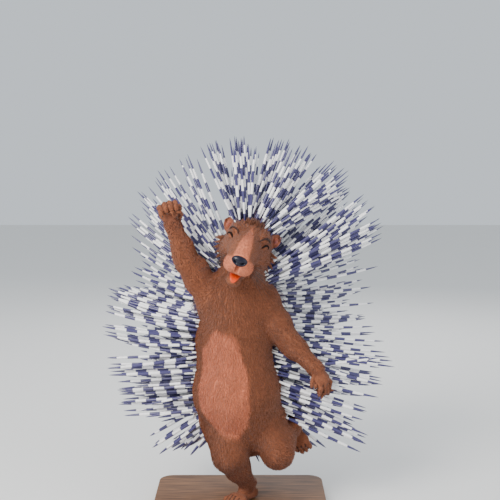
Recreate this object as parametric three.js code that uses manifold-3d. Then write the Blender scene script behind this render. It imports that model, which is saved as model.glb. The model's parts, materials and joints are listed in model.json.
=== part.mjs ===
// A crested porcupine, life size, standing upright on its right hind foot on a flat wooden base.
// The right arm is raised with the paw closed, the left arm hangs out from the side, the left leg is
// bent with its foot lifted behind, the head leans to the animal's left, and all quills are raised.
// Millimetres, +Z up. The animal faces -Y and its own left side is at +X.
// The origin is the centre of the base's underside.
import * as THREE from "three";
import { mergeVertices } from "three/addons/utils/BufferGeometryUtils.js";
import Module from "manifold-3d";

const wasm = await Module();
wasm.setup();

const V = (x, y, z) => new THREE.Vector3(x, y, z);
const { degToRad, clamp, lerp } = THREE.MathUtils;

// Driving dimensions
const GAP = 0.3; // between two pieces that touch
const BASE = { width: 460, depth: 400, height: 25, corner: 40, bevel: 3 };
const SOLE = BASE.height + GAP; // level of the standing foot's sole
const HEAD = { place: V(20, -34, 716), pitch: 15, roll: 20, yaw: -4 };
const TORSO_TOP = 600; // height of the cut between torso and neck
const TRUNK_SIDES = 24;
const TRUNK_BLEND = 40; // softness of the joins between the trunk's masses
const HEAD_BLEND = 16;
const LIMB_BLEND = 14;

// The quills reach this ellipsoid, and fan out from a short upright line inside the body. By height of
// the root: how many degrees a quill rises on the right and on the left, and how far it leans sideways.
const REACH = { centre: V(26, 30, 548), radii: V(412, 345, 462) };
const FAN = {
  x: -4,
  y: -4,
  heights: [190, 235, 270, 400, 500, 540, 590, 620, 650, 680],
  right: [-54, -38, -15, -4, 3, 7, 19, 31, 46, 62],
  left: [-52, -40, -30, -23, -16, -11, 3, 18, 36, 54],
  sideways: [1.3, 1.3, 1.3, 1.4, 2, 2.5, 2.5, 2, 1.6, 1.3],
  lowReach: { from: 210, to: 330, extra: 0.7 }, // low on the flanks the quills reach further out
  shoulder: 470, // above this height the quills pass behind the arms
  behindArms: 0.2,
  bow: { low: -0.05, high: 0.06, from: 200, to: 400 },
};
const QUILL = { spacing: 24.6, radius: 3.7, shortest: 90, longest: 385, sink: 9, margin: 1.2 };
const CREST = { ...QUILL, spacing: 17, radius: 3.1, longest: 330, sink: 8 };
const NAPE = { ...CREST, longest: 385 };
const ROWS = {
  back: { lowest: 206, highest: TORSO_TOP - 24 },
  nape: { lowest: TORSO_TOP + 14, highest: 668 },
  widest: { rump: 82, back: 100, nape: 114 }, // degrees from the middle of the back
};

// Soft masses of flesh. Each has a signed distance, negative inside.
const lump = (centre, radii) => (p) => {
  const q = p.clone().sub(centre);
  const near = q.clone().divide(radii).length();
  const steep = q.divide(radii).divide(radii).length();
  return steep < 1e-9 ? -Math.min(radii.x, radii.y, radii.z) : (near * (near - 1)) / steep;
};
const bone = (from, to, r0, r1) => {
  const along = to.clone().sub(from);
  const squared = along.lengthSq();
  return (p) => {
    const q = p.clone().sub(from);
    const h = clamp(q.dot(along) / squared, 0, 1);
    return q.addScaledVector(along, -h).length() - lerp(r0, r1, h);
  };
};
const blended = (masses, softness) => (p) => {
  let d = masses[0](p);
  for (let i = 1; i < masses.length; i++) {
    const e = masses[i](p);
    const h = Math.max(softness - Math.abs(d - e), 0) / softness;
    d = Math.min(d, e) - (h * h * softness) / 4;
  }
  return d;
};
const outward = (flesh, p) => {
  const e = 0.5;
  const slope = (step) => flesh(p.clone().add(step)) - flesh(p.clone().sub(step));
  return V(slope(V(e, 0, 0)), slope(V(0, e, 0)), slope(V(0, 0, e))).normalize();
};

// The first surface of the flesh met from a point inside it, going one way
function surface(flesh, from, way, level = 0, most = 190) {
  const at = (r) => from.clone().addScaledVector(way, r);
  const step = 3;
  let far = step;
  while (far < most && flesh(at(far)) < level) far += step;
  if (far >= most) return at(most);
  let near = far - step;
  for (let i = 0; i < 12; i++) {
    const middle = (near + far) / 2;
    if (flesh(at(middle)) < level) near = middle;
    else far = middle;
  }
  return at((near + far) / 2);
}

// Faces between rings of points, with a pole or a flat cap at each end
function ringsToGeometry(rings, startPole, endPole) {
  const sides = rings[0].length;
  const points = rings.flat();
  const faces = [];
  for (let i = 0; i + 1 < rings.length; i++)
    for (let j = 0; j < sides; j++) {
      const a = i * sides + j;
      const b = i * sides + ((j + 1) % sides);
      faces.push(a, b, b + sides, a, b + sides, a + sides);
    }
  const last = (rings.length - 1) * sides;
  if (startPole) points.push(startPole);
  const start = points.length - 1;
  if (endPole) points.push(endPole);
  const end = points.length - 1;
  for (let j = 0; j < sides; j++) {
    const next = (j + 1) % sides;
    if (startPole) faces.push(start, next, j);
    else if (j > 0 && j < sides - 1) faces.push(0, j + 1, j);
    if (endPole) faces.push(end, last + j, last + next);
    else if (j > 0 && j < sides - 1) faces.push(last, last + j, last + j + 1);
  }
  const position = new Float32Array(points.flatMap((p) => [p.x, p.y, p.z]));
  const geometry = new THREE.BufferGeometry();
  geometry.setAttribute("position", new THREE.BufferAttribute(position, 3));
  geometry.setIndex(faces);
  return geometry;
}

// The way that points off a line, turned about it from the back
function aroundLine(along, back, turn) {
  const away = back.clone().addScaledVector(along, -back.dot(along)).normalize();
  const across = along.clone().cross(away);
  return away.multiplyScalar(Math.cos(turn)).addScaledVector(across, Math.sin(turn));
}

// Skin round a bone line: rings of rays pushed out to the flesh, with round or flat ends
function wrap(flesh, line, options) {
  const { sides, rings, back, from = 0, to = 1, roundStart = 0, roundEnd = 0, level = 0, most } = options;
  const station = (u, tilt) => {
    const centre = line.getPointAt(u);
    const along = line.getTangentAt(u);
    return Array.from({ length: sides }, (_, j) => {
      const way = aroundLine(along, back, (2 * Math.PI * j) / sides);
      way.multiplyScalar(Math.cos(tilt)).addScaledVector(along, Math.sin(tilt));
      return surface(flesh, centre, way, level, most);
    });
  };
  const made = [];
  const quarter = Math.PI / 2;
  for (let i = 1; i <= roundStart; i++) made.push(station(from, -quarter * (1 - i / (roundStart + 1))));
  for (let i = 0; i <= rings; i++) made.push(station(lerp(from, to, i / rings), 0));
  for (let i = 1; i <= roundEnd; i++) made.push(station(to, (quarter * i) / (roundEnd + 1)));
  const pole = (u, sign) => {
    const way = line.getTangentAt(u).multiplyScalar(sign);
    return surface(flesh, line.getPointAt(u), way, level, most);
  };
  return ringsToGeometry(made, roundStart ? pole(from, -1) : null, roundEnd ? pole(to, 1) : null);
}

// A tapered rod through a few points. A last radius of 0 makes a point.
function rod(points, radii, sides, flat = 1, broad = V(1, 0, 0)) {
  const rings = [];
  points.forEach((p, i) => {
    if (radii[i] === 0) return;
    const before = points[Math.max(i - 1, 0)];
    const after = points[Math.min(i + 1, points.length - 1)];
    const along = after.clone().sub(before).normalize();
    const away = broad.clone().addScaledVector(along, -broad.dot(along)).normalize();
    const across = along.clone().cross(away);
    rings.push(
      Array.from({ length: sides }, (_, j) => {
        const turn = (2 * Math.PI * j) / sides;
        return p
          .clone()
          .addScaledVector(away, radii[i] * Math.cos(turn))
          .addScaledVector(across, radii[i] * flat * Math.sin(turn));
      }),
    );
  });
  return ringsToGeometry(rings, null, radii.at(-1) === 0 ? points.at(-1) : null);
}

// Closed solids for joining and cutting
function solid(geometry) {
  const bare = new THREE.BufferGeometry().setAttribute("position", geometry.getAttribute("position"));
  if (geometry.index) bare.setIndex(geometry.index);
  const merged = mergeVertices(bare, 1e-4);
  const made = new wasm.Manifold(
    new wasm.Mesh({
      numProp: 3,
      vertProperties: new Float32Array(merged.attributes.position.array),
      triVerts: new Uint32Array(merged.index.array),
    }),
  );
  if (made.volume() <= 0) throw new Error("a form is inside out");
  return made;
}
const joined = (solids) => wasm.Manifold.union(solids);
const toWorld = (made, matrix) => made.transform(matrix.elements);
const largest = (made) => made.decompose().sort((a, b) => b.volume() - a.volume())[0];
const ball = (centre, radii, wide = 12, high = 8, turn = new THREE.Euler()) =>
  new THREE.SphereGeometry(1, wide, high)
    .scale(radii.x, radii.y, radii.z)
    .applyQuaternion(new THREE.Quaternion().setFromEuler(turn))
    .translate(centre.x, centre.y, centre.z);

// Repeatable random draws from 0 to 1
let seed = 20417;
function draw() {
  seed = (seed + 0x6d2b79f5) | 0;
  let t = Math.imul(seed ^ (seed >>> 15), 1 | seed);
  t = (t + Math.imul(t ^ (t >>> 7), 61 | t)) ^ t;
  return ((t ^ (t >>> 14)) >>> 0) / 4294967296;
}
const between = (low, high) => lerp(low, high, draw());

// Trunk: rump, belly, ribs, shoulders and neck along the spine
const trunk = blended(
  [
    lump(V(14, 30, 228), V(104, 97, 92)),
    lump(V(-9, -2, 322), V(118, 110, 122)),
    lump(V(-16, 4, 450), V(103, 96, 118)),
    lump(V(-6, 12, 545), V(90, 80, 72)),
    lump(V(-60, 4, 572), V(46, 48, 52)),
    lump(V(54, 4, 560), V(46, 48, 52)),
    bone(V(-4, 12, 590), V(12, -6, 676), 68, 58),
  ],
  TRUNK_BLEND,
);
const spine = new THREE.CatmullRomCurve3([
  V(14, 30, 205),
  V(8, 22, 255),
  V(-8, 6, 330),
  V(-14, 8, 450),
  V(-6, 12, 545),
  V(-2, 12, 600),
  V(6, 4, 650),
  V(14, -8, 700),
]);
function alongSpine(height) {
  let low = 0;
  let high = 1;
  for (let i = 0; i < 24; i++) {
    const middle = (low + high) / 2;
    if (spine.getPointAt(middle).z < height) low = middle;
    else high = middle;
  }
  return low;
}
const BACK = V(0, 1, 0);
const neckCut = alongSpine(TORSO_TOP);
const spineLength = spine.getLength();
const trunkPiece = (options) => solid(wrap(trunk, spine, { sides: TRUNK_SIDES, back: BACK, ...options }));
const torsoBody = (level) => trunkPiece({ rings: 12, to: neckCut, roundStart: 4, level });
const neckBody = (level) => trunkPiece({ rings: 4, from: neckCut + GAP / spineLength, level });
// Bridges the thin cut between torso and neck where something else is trimmed against both
const COLLAR = 6 / spineLength;
const collar = trunkPiece({ rings: 1, from: neckCut - COLLAR, to: neckCut + COLLAR, level: 2 * GAP });

// Head, in its own frame: the nose points to -Y and the crown to +Z
const headGroup = new THREE.Group();
headGroup.position.copy(HEAD.place);
headGroup.rotation.set(degToRad(HEAD.pitch), degToRad(HEAD.roll), degToRad(HEAD.yaw), "ZYX");
headGroup.updateMatrixWorld();
const headWorld = headGroup.matrixWorld;
const headLocal = headWorld.clone().invert();
const pair = (make) => [make(-1), make(1)];
const headFlesh = blended(
  [
    lump(V(0, 18, 9), V(60, 64, 60)),
    ...pair((s) => lump(V(s * 31, -2, -22), V(34, 50, 38))),
    bone(V(0, -22, 4), V(0, -92, -10), 51, 36),
    lump(V(0, -62, 22), V(34, 52, 28)),
    ...pair((s) => lump(V(s * 17, -106, -22), V(23, 24, 21))),
    lump(V(0, -112, 0), V(27, 21, 23)),
    ...pair((s) => lump(V(s * 36, -24, 40), V(16, 24, 13))),
  ],
  HEAD_BLEND,
);
const headLine = new THREE.LineCurve3(V(0, 44, 4), V(0, -96, -8));
const UP = V(0, 0, 1);
const skullShape = { sides: 24, rings: 11, back: UP, roundStart: 4, roundEnd: 4 };
const skull = (level) => solid(wrap(headFlesh, headLine, { ...skullShape, level }));
const headCutter = skull(GAP);

// Lower jaw, a little open, and the tongue on it
const jawFlesh = blended(
  [bone(V(0, 4, -51), V(0, -76, -74), 34, 17), lump(V(0, -86, -73), V(17, 15, 12))],
  HEAD_BLEND,
);
const jawLine = new THREE.LineCurve3(V(0, 4, -51), V(0, -84, -74));
const jawShape = { sides: 14, rings: 5, back: UP, roundStart: 2, roundEnd: 3 };
const jawBody = (level) => solid(wrap(jawFlesh, jawLine, { ...jawShape, level }));
const tongueBody = rod(
  [V(0, -56, -55), V(0, -74, -54.5), V(0, -92, -56), V(0, -105, -61), V(0, -113, -69), V(0, -115, -73)],
  [10, 12, 13, 13, 10, 0],
  10,
  0.32,
);

// Ears: shallow cups that open outward and forward
const EAR = {
  place: V(64, 24, 22),
  radii: V(20, 12, 24),
  hollow: V(16, 12, 19.5),
  shift: 7,
  turn: { tip: -6, lean: 14, swing: 34 }, // degrees: forwards, outwards, and away from the face
};
function ear(side) {
  const { tip, lean, swing } = EAR.turn;
  const turn = new THREE.Euler(degToRad(tip), degToRad(side * lean), degToRad(side * swing), "ZYX");
  const out = V(0, -1, 0).applyEuler(turn);
  const centre = V(side * EAR.place.x, EAR.place.y, EAR.place.z);
  const shell = solid(ball(centre, EAR.radii, 12, 6, turn));
  const cup = solid(ball(centre.clone().addScaledVector(out, EAR.shift), EAR.hollow, 10, 6, turn));
  return largest(shell.subtract(cup).subtract(headCutter));
}

// Eyes are shut: each is one domed lid with a bowed slit
const LID = { place: V(45, -40, 23), radii: V(14, 8.5, 10.5), slit: 11, width: 1.3, arc: 140 };
function eyelid(side) {
  const turn = new THREE.Euler(degToRad(-14), degToRad(side * 8), degToRad(side * 50), "ZYX");
  const centre = V(side * LID.place.x, LID.place.y, LID.place.z);
  const dome = solid(ball(centre, LID.radii, 10, 6, turn));
  const out = V(0, -1, 0).applyEuler(turn);
  const arc = new THREE.TorusGeometry(LID.slit, LID.width, 4, 8, degToRad(LID.arc));
  arc.rotateZ(degToRad((180 - LID.arc) / 2)).translate(0, -LID.slit * 0.72, 0);
  arc.rotateX(Math.PI / 2).scale(1, 3, 1);
  arc.applyQuaternion(new THREE.Quaternion().setFromEuler(turn));
  const face = centre.clone().addScaledVector(out, LID.radii.y - 2);
  arc.translate(face.x, face.y, face.z);
  return largest(dome.subtract(solid(closedArc(arc))).subtract(headCutter));
}
// A torus arc has open ends: a fan of faces closes each
function closedArc(geometry) {
  const merged = mergeVertices(
    new THREE.BufferGeometry()
      .setAttribute("position", geometry.getAttribute("position"))
      .setIndex(geometry.index),
    1e-3,
  );
  const faces = [...merged.index.array];
  const edges = new Map();
  for (let i = 0; i < faces.length; i += 3)
    for (let j = 0; j < 3; j++) {
      const a = faces[i + j];
      const b = faces[i + ((j + 1) % 3)];
      if (!edges.delete(b + "_" + a)) edges.set(a + "_" + b, [a, b]);
    }
  const next = new Map([...edges.values()].map(([a, b]) => [b, a]));
  while (next.size) {
    const loop = [next.keys().next().value];
    while (next.has(loop.at(-1))) {
      const at = loop.at(-1);
      loop.push(next.get(at));
      next.delete(at);
    }
    loop.pop();
    for (let j = 1; j + 1 < loop.length; j++) faces.push(loop[0], loop[j], loop[j + 1]);
  }
  merged.setIndex(faces);
  const at = merged.attributes.position;
  let volume = 0;
  const p = [V(0, 0, 0), V(0, 0, 0), V(0, 0, 0)];
  for (let i = 0; i < faces.length; i += 3) {
    p.forEach((v, j) => v.fromBufferAttribute(at, faces[i + j]));
    volume += p[0].dot(p[1].clone().cross(p[2]));
  }
  if (volume < 0) merged.setIndex(faces.reverse());
  return merged;
}

// Nose: a broad pad on the muzzle's front, with two slanting nostrils
const NOSE = { place: V(0, -130, 1), radii: V(20, 9.5, 14) };
function nose() {
  const pad = solid(ball(NOSE.place, NOSE.radii, 12, 6));
  const nostrils = pair((s) =>
    solid(ball(V(s * 10, -138.5, -1), V(6, 6, 2.6), 6, 4, new THREE.Euler(0, degToRad(s * 28), 0))),
  );
  return largest(nostrils.reduce((made, hole) => made.subtract(hole), pad).subtract(headCutter));
}
const cleft = solid(ball(V(0, -132, -29), V(1.8, 9, 18), 8, 6));

// Tufts of long hair behind each cheek
const CHEEK_TUFTS = 4;
const cheekTufts = (side) =>
  Array.from({ length: CHEEK_TUFTS }, (_, i) => {
    const share = i / (CHEEK_TUFTS - 1);
    const inside = V(side * lerp(32, 40, share), lerp(-14, 18, share), lerp(-26, -18, share));
    const way = V(side * lerp(0.45, 0.8, share), lerp(0.05, 0.2, share), lerp(-0.95, -0.6, share));
    const root = surface(headFlesh, inside, way.normalize());
    const at = (d, drop) => root.clone().addScaledVector(way, d).add(V(0, 0, -drop));
    const length = between(24, 32);
    return [at(-9, 0), at(length * 0.45, 1), at(length, 5)];
  });
const tuftLines = pair(cheekTufts).flat();
const tuftSolid = (points) => solid(rod(points, [9.5, 7.5, 0], 4, 0.5, V(0, 1, 0.3)));

// Limbs: a thick upper part with a round end, and a lower part that is cut where it meets it
function limb(upperMasses, lowerMasses, back) {
  const upperFlesh = blended(upperMasses.masses, LIMB_BLEND);
  const lowerFlesh = blended(lowerMasses.masses, LIMB_BLEND);
  const upperLine = new THREE.CatmullRomCurve3(upperMasses.line);
  const lowerLine = new THREE.CatmullRomCurve3(lowerMasses.line);
  const upper = (level) =>
    solid(wrap(upperFlesh, upperLine, { sides: 12, rings: 3, back, roundEnd: 2, level, most: 90 }));
  const whole = (level) =>
    solid(wrap(lowerFlesh, lowerLine, { sides: 11, rings: 3, back, roundEnd: 2, level, most: 90 }));
  const lower = (level) => largest(whole(level).subtract(upper(GAP)));
  return { flesh: blended([upperFlesh, lowerFlesh], LIMB_BLEND), upper, lower, whole };
}
const armRight = limb(
  {
    masses: [bone(V(-66, 0, 560), V(-136, -22, 668), 46, 32), lump(V(-112, -14, 632), V(36, 34, 50))],
    line: [V(-58, 4, 545), V(-90, -6, 600), V(-136, -22, 668)],
  },
  {
    masses: [bone(V(-136, -22, 668), V(-171, -36, 764), 31, 22), lump(V(-146, -24, 696), V(30, 29, 40))],
    line: [V(-136, -22, 668), V(-156, -29, 716), V(-170, -36, 762)],
  },
  V(1, 0, 0),
);
const armLeft = limb(
  {
    masses: [bone(V(58, 0, 556), V(124, -20, 462), 45, 32), lump(V(100, -12, 500), V(36, 35, 44))],
    line: [V(46, 4, 572), V(84, -6, 520), V(124, -20, 462)],
  },
  {
    masses: [bone(V(124, -20, 462), V(196, -46, 392), 31, 21), lump(V(144, -28, 442), V(33, 29, 30))],
    line: [V(124, -20, 462), V(160, -34, 426), V(194, -45, 394)],
  },
  V(1, 0, 0.6),
);
const legRight = limb(
  {
    masses: [bone(V(-40, 22, 236), V(-27, -58, 166), 70, 45)],
    line: [V(-40, 30, 246), V(-36, -18, 206), V(-27, -56, 168)],
  },
  {
    masses: [bone(V(-27, -58, 166), V(18, -2, 72), 42, 23), lump(V(-8, -34, 128), V(35, 36, 42))],
    line: [V(-27, -56, 164), V(-4, -32, 116), V(16, -4, 76)],
  },
  V(1, 0, 0),
);
const legLeft = limb(
  {
    masses: [bone(V(56, 22, 244), V(98, -44, 168), 68, 42)],
    line: [V(50, 30, 252), V(76, -8, 212), V(98, -42, 172)],
  },
  {
    masses: [bone(V(98, -44, 168), V(140, 50, 214), 39, 22), lump(V(112, -8, 184), V(34, 40, 33))],
    line: [V(98, -44, 170), V(118, 2, 188), V(139, 48, 212)],
  },
  V(1, 0, 0.3),
);

// Paws, in their own frames: a paw runs along +Z from the wrist or ankle, and its palm or sole faces -Y
const CLAW = { length: 17, radius: 3.6, sink: 2 };
const PAW_BLEND = 8;
function paw({ place, turn, palm, line, digits, cut }) {
  const group = new THREE.Group();
  group.position.copy(place);
  group.quaternion.copy(turn);
  group.updateMatrixWorld();
  const flesh = blended(palm, PAW_BLEND);
  const curve = new THREE.CatmullRomCurve3(line);
  const digitRods = (grow) =>
    digits.map(({ points, radius }) => {
      const count = points.length;
      const radii = points.map((_, i) => (i === count - 1 ? 0 : radius * lerp(1, 0.78, i / count) + grow));
      const along = points[count - 1].clone().sub(points[count - 2]).setLength(grow);
      const reached = points.map((p, i) => (i === count - 1 ? p.clone().add(along) : p));
      return solid(rod(reached, radii, 5));
    });
  const palmShape = { sides: 10, rings: 3, back: BACK, roundStart: 1, roundEnd: 1 };
  const palmBody = (grow) => solid(wrap(flesh, curve, { ...palmShape, level: grow }));
  const body = (grow) => joined([palmBody(grow), ...digitRods(grow)]);
  const skin = body(GAP);
  const inverse = group.matrixWorld.clone().invert();
  const neighbours = cut.map((neighbour) => toWorld(neighbour(), inverse));
  const trimmed = (made) => largest(neighbours.reduce((rest, neighbour) => rest.subtract(neighbour), made));
  const claws = digits.map(({ points, claw }) => {
    const tip = points.at(-2);
    const way = points.at(-1).clone().sub(points.at(-2)).normalize();
    const at = (d, bend) => tip.clone().addScaledVector(way, d).addScaledVector(claw.curl, bend);
    const size = claw.size ?? 1;
    const length = CLAW.length * size;
    const path = [at(-CLAW.sink, 0), at(length * 0.4, 1), at(length * 0.75, 3.5), at(length, 7 * size)];
    const radii = [CLAW.radius, CLAW.radius * 0.85, CLAW.radius * 0.5, 0].map((r) => r * size);
    return trimmed(solid(rod(path, radii, 5)).subtract(skin));
  });
  return { group, body: trimmed(body(0)), claws };
}

// A turn that takes +Z to the paw's direction and -Y towards the way the palm faces
function facing(along, palmWay) {
  const z = along.clone().normalize();
  const y = palmWay.clone().addScaledVector(z, -palmWay.dot(z)).normalize().negate();
  const x = y.clone().cross(z);
  return new THREE.Quaternion().setFromRotationMatrix(new THREE.Matrix4().makeBasis(x, y, z));
}

// Raised right hand, closed: the digits fold forward over the palm
const DIGITS = { first: -20, pitch: 13.2 };
const FIST = { knuckle: 44, radius: 8.6 };
const pawLine = (length) => [V(0, 1, -6), V(0, 0, length * 0.5), V(0, 0, length)];
const handRight = paw({
  place: V(-171, -36, 764),
  turn: facing(V(-0.26, -0.1, 0.96), V(0.12, -1, 0)),
  palm: [bone(V(0, 0, -4), V(0, 0, 34), 21, 20), lump(V(0, 1, 30), V(29, 17, 24))],
  line: pawLine(32),
  digits: [
    ...Array.from({ length: 4 }, (_, i) => {
      const x = DIGITS.first + DIGITS.pitch * i;
      const high = FIST.knuckle + [0, 4, 4, 1][i];
      const folded = [V(x, 0, -12), V(x, -6, 10), V(x, -20, 14), V(x, -29, 4), V(x, -29, -6)];
      return {
        points: folded.map((p) => p.add(V(0, 0, high))),
        radius: FIST.radius,
        claw: { curl: V(0, 1, 0), size: 0.8 },
      };
    }),
    {
      points: [V(20, -4, 12), V(29, -12, 22), V(27, -22, 30), V(20, -26, 34)],
      radius: 7,
      claw: { curl: V(0, 0, 1), size: 0.5 },
    },
  ],
  cut: [() => armRight.whole(GAP)],
});

// Left hand, open and hanging
const handLeft = paw({
  place: V(196, -46, 392),
  turn: facing(V(0.5, -0.12, -0.86), V(-0.55, 0.55, -0.6)),
  palm: [bone(V(0, 0, -4), V(0, 0, 32), 20, 19), lump(V(0, 1, 28), V(28, 15, 24))],
  line: pawLine(30),
  digits: [
    ...Array.from({ length: 4 }, (_, i) => {
      const x = DIGITS.first + DIGITS.pitch * i;
      const spread = x * (i === 0 || i === 3 ? 1.2 : 1);
      const reach = [58, 64, 65, 60][i];
      return {
        points: [V(x, 0, 34), V(spread, -1, 50), V(spread, -9, reach), V(spread, -15, reach + 6)],
        radius: 8.2,
        claw: { curl: V(0, -1, 0) },
      };
    }),
    {
      points: [V(-20, -2, 12), V(-30, -8, 22), V(-33, -14, 31), V(-33, -17, 36)],
      radius: 6.6,
      claw: { curl: V(0, -1, 0), size: 0.5 },
    },
  ],
  cut: [() => armLeft.whole(GAP)],
});

// Feet: heel, ball and five toes. The sole of each faces -Y in its own frame.
const FOOT = { heel: 18, ball: 70, toes: 27, radius: 8.4 };
const footPalm = [
  bone(V(0, 4, -4), V(0, 2, FOOT.ball - 12), 18, 17),
  lump(V(0, 4, FOOT.ball - 14), V(27, 15, 26)),
  bone(V(0, 30, 8), V(0, 12, 34), 20, 15),
];
const footLine = [V(0, 4, -4), V(0, 3, 30), V(0, 3, FOOT.ball - 8)];
const footDigits = (droop) =>
  Array.from({ length: 5 }, (_, i) => {
    const x = (i - 2) * 11.4;
    const reach = FOOT.ball + FOOT.toes - Math.abs(i - 2.2) * 6.5;
    return {
      points: [
        V(x * 0.9, 3, FOOT.ball - 16),
        V(x, 3 - droop, FOOT.ball + 3),
        V(x * 1.06, -1 - 2 * droop, reach - 6),
        V(x * 1.08, -4 - 3 * droop, reach),
      ],
      radius: FOOT.radius,
      claw: { curl: V(0, -0.55, 0), size: i === 0 || i === 4 ? 0.85 : 1 },
    };
  });

// Standing foot, flat on the base
const STANDING = { heel: V(28, 14, SOLE + 10), heading: V(-0.62, -0.78, 0) };
const soleCutter = solid(new THREE.BoxGeometry(400, 400, 60).translate(0, 0, SOLE - 30));
const footRight = paw({
  place: STANDING.heel,
  turn: facing(STANDING.heading, V(0, 0, -1)),
  palm: footPalm,
  line: footLine,
  digits: footDigits(0),
  cut: [() => legRight.whole(GAP), () => soleCutter],
});

// Lifted foot, hanging from its ankle
const footLeft = paw({
  place: V(146, 66, 226),
  turn: facing(V(0.22, -0.12, -0.97), V(0.25, 0.96, -0.1)),
  palm: footPalm,
  line: footLine,
  digits: footDigits(2),
  cut: [() => legLeft.whole(GAP), () => legLeft.upper(GAP)],
});

// Tail: short and thick, hidden from the front
const tailFlesh = blended([bone(V(12, 92, 196), V(14, 196, 160), 33, 14)], LIMB_BLEND);
const tailLine = new THREE.LineCurve3(V(12, 92, 196), V(14, 192, 161));
const tailBody = solid(
  wrap(tailFlesh, tailLine, { sides: 12, rings: 6, back: UP, roundEnd: 2, most: 60 }),
);

// Everything that a quill has to stay clear of, as plain distances in world space
const headDistance = (p) => {
  const q = p.clone().applyMatrix4(headLocal);
  return Math.min(headFlesh(q), jawFlesh(q));
};
const earDistance = (p) => {
  const q = p.clone().applyMatrix4(headLocal);
  return Math.min(...pair((s) => q.distanceTo(V(s * EAR.place.x, EAR.place.y, EAR.place.z)) - EAR.radii.z));
};
const pawDistance = (p) =>
  Math.min(
    ...[handRight, handLeft, footRight, footLeft].map(({ group }) => {
      const q = p.clone().sub(group.position).applyQuaternion(group.quaternion.clone().invert());
      return bone(V(0, 0, 0), V(0, 0, 60), 34, 38)(q);
    }),
  );
const limbDistance = (p) =>
  Math.min(armRight.flesh(p), armLeft.flesh(p), legRight.flesh(p), legLeft.flesh(p));
const BODIES = {
  trunk,
  head: headDistance,
  ears: earDistance,
  limbs: limbDistance,
  paws: pawDistance,
  tail: tailFlesh,
};

// Quills. Each is a bowed spindle with three sides, its root sunk in the flesh.
const TUFT_RADIUS = 7.5;
const placed = tuftLines.map((line) => {
  const points = line.map((p) => p.clone().applyMatrix4(headWorld));
  return { points, radius: TUFT_RADIUS };
});
const STEPS = [0, 0.08, 0.2, 0.35, 0.5, 0.65, 0.8, 0.92, 1]; // shares of a quill that are tested
const ROOT_STEPS = 3; // of these, the ones that may lie in the flesh that carries the quill
const TIP_OVER_BASE = 12;
const NO_NEIGHBOUR = 260; // roots further apart than this never let their quills meet
const quillPath = (root, way, length, bow) => {
  const lift = V(0, 0, 1).addScaledVector(way, -way.z);
  return (s) => {
    const p = root.clone().addScaledVector(way, length * s);
    return p.addScaledVector(lift, length * bow * s * Math.abs(s));
  };
};
function clears(path, radius, owner) {
  const points = STEPS.map(path);
  for (const [name, distance] of Object.entries(BODIES))
    for (let i = name === owner ? ROOT_STEPS : 0; i < points.length; i++)
      if (distance(points[i]) < radius + QUILL.margin) return null;
  if (points.at(-1).z < SOLE + TIP_OVER_BASE) return null;
  for (const other of placed)
    if (segmentsTooNear(points, other.points, radius + other.radius + GAP)) return null;
  return points;
}
function segmentsTooNear(a, b, apart) {
  if (a[0].distanceTo(b[0]) > NO_NEIGHBOUR) return false;
  for (let i = 1; i < a.length; i++)
    for (let j = 1; j < b.length; j++)
      if (segmentDistance(a[i - 1], a[i], b[j - 1], b[j]) < apart) return true;
  return false;
}
function segmentDistance(p, q, r, s) {
  const d1 = q.clone().sub(p);
  const d2 = s.clone().sub(r);
  const w = p.clone().sub(r);
  const a = d1.lengthSq();
  const b = d1.dot(d2);
  const c = d2.lengthSq();
  const d = d1.dot(w);
  const e = d2.dot(w);
  const den = a * c - b * b;
  let t = den > 1e-9 ? clamp((b * e - c * d) / den, 0, 1) : 0;
  const u = clamp((b * t + e) / c, 0, 1);
  t = clamp((b * u - d) / a, 0, 1);
  return w.addScaledVector(d1, t).addScaledVector(d2, -u).length();
}
const shareOf = (value, { from, to }) => clamp((value - from) / (to - from), 0, 1);
const toReach = (root, way) => {
  const p = root.clone().sub(REACH.centre).divide(REACH.radii);
  const d = way.clone().divide(REACH.radii);
  const a = d.lengthSq();
  const b = p.dot(d);
  const reach = (-b + Math.sqrt(Math.max(b * b - a * (p.lengthSq() - 1), 0))) / a;
  return reach * (1 + FAN.lowReach.extra * Math.abs(way.x) * (1 - shareOf(root.z, FAN.lowReach)));
};
function atHeight(values, height) {
  const i = clamp(FAN.heights.findIndex((h) => h > height), 1, FAN.heights.length - 1);
  const share = clamp((height - FAN.heights[i - 1]) / (FAN.heights[i] - FAN.heights[i - 1]), 0, 1);
  return lerp(values[i - 1], values[i], share);
}
function quillWay(root, normal) {
  const side = (clamp(root.x / 90, -1, 1) + 1) / 2;
  const rise = degToRad(lerp(atHeight(FAN.right, root.z), atHeight(FAN.left, root.z), side));
  const sideways = (root.x - FAN.x) * atHeight(FAN.sideways, root.z);
  const way = V(sideways, root.y - FAN.y, 0).normalize().multiplyScalar(Math.cos(rise));
  way.z = Math.sin(rise);
  if (root.z > FAN.shoulder) way.y += FAN.behindArms;
  return way.addScaledVector(normal, 0.15).normalize();
}
const crownWay = (root) => {
  const way = root.clone().sub(HEAD.place);
  const backwards = lerp(0.6, 1.3, clamp(way.y / 60, 0, 1));
  const besideArm = 0.9 * Math.max(0, -way.x); // those on the right stand up, beside the raised arm
  return V(way.x * 1.2 + 6, way.y * backwards + 14, way.z + 20 + besideArm).normalize();
};
const ATTEMPTS = 8;
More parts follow.
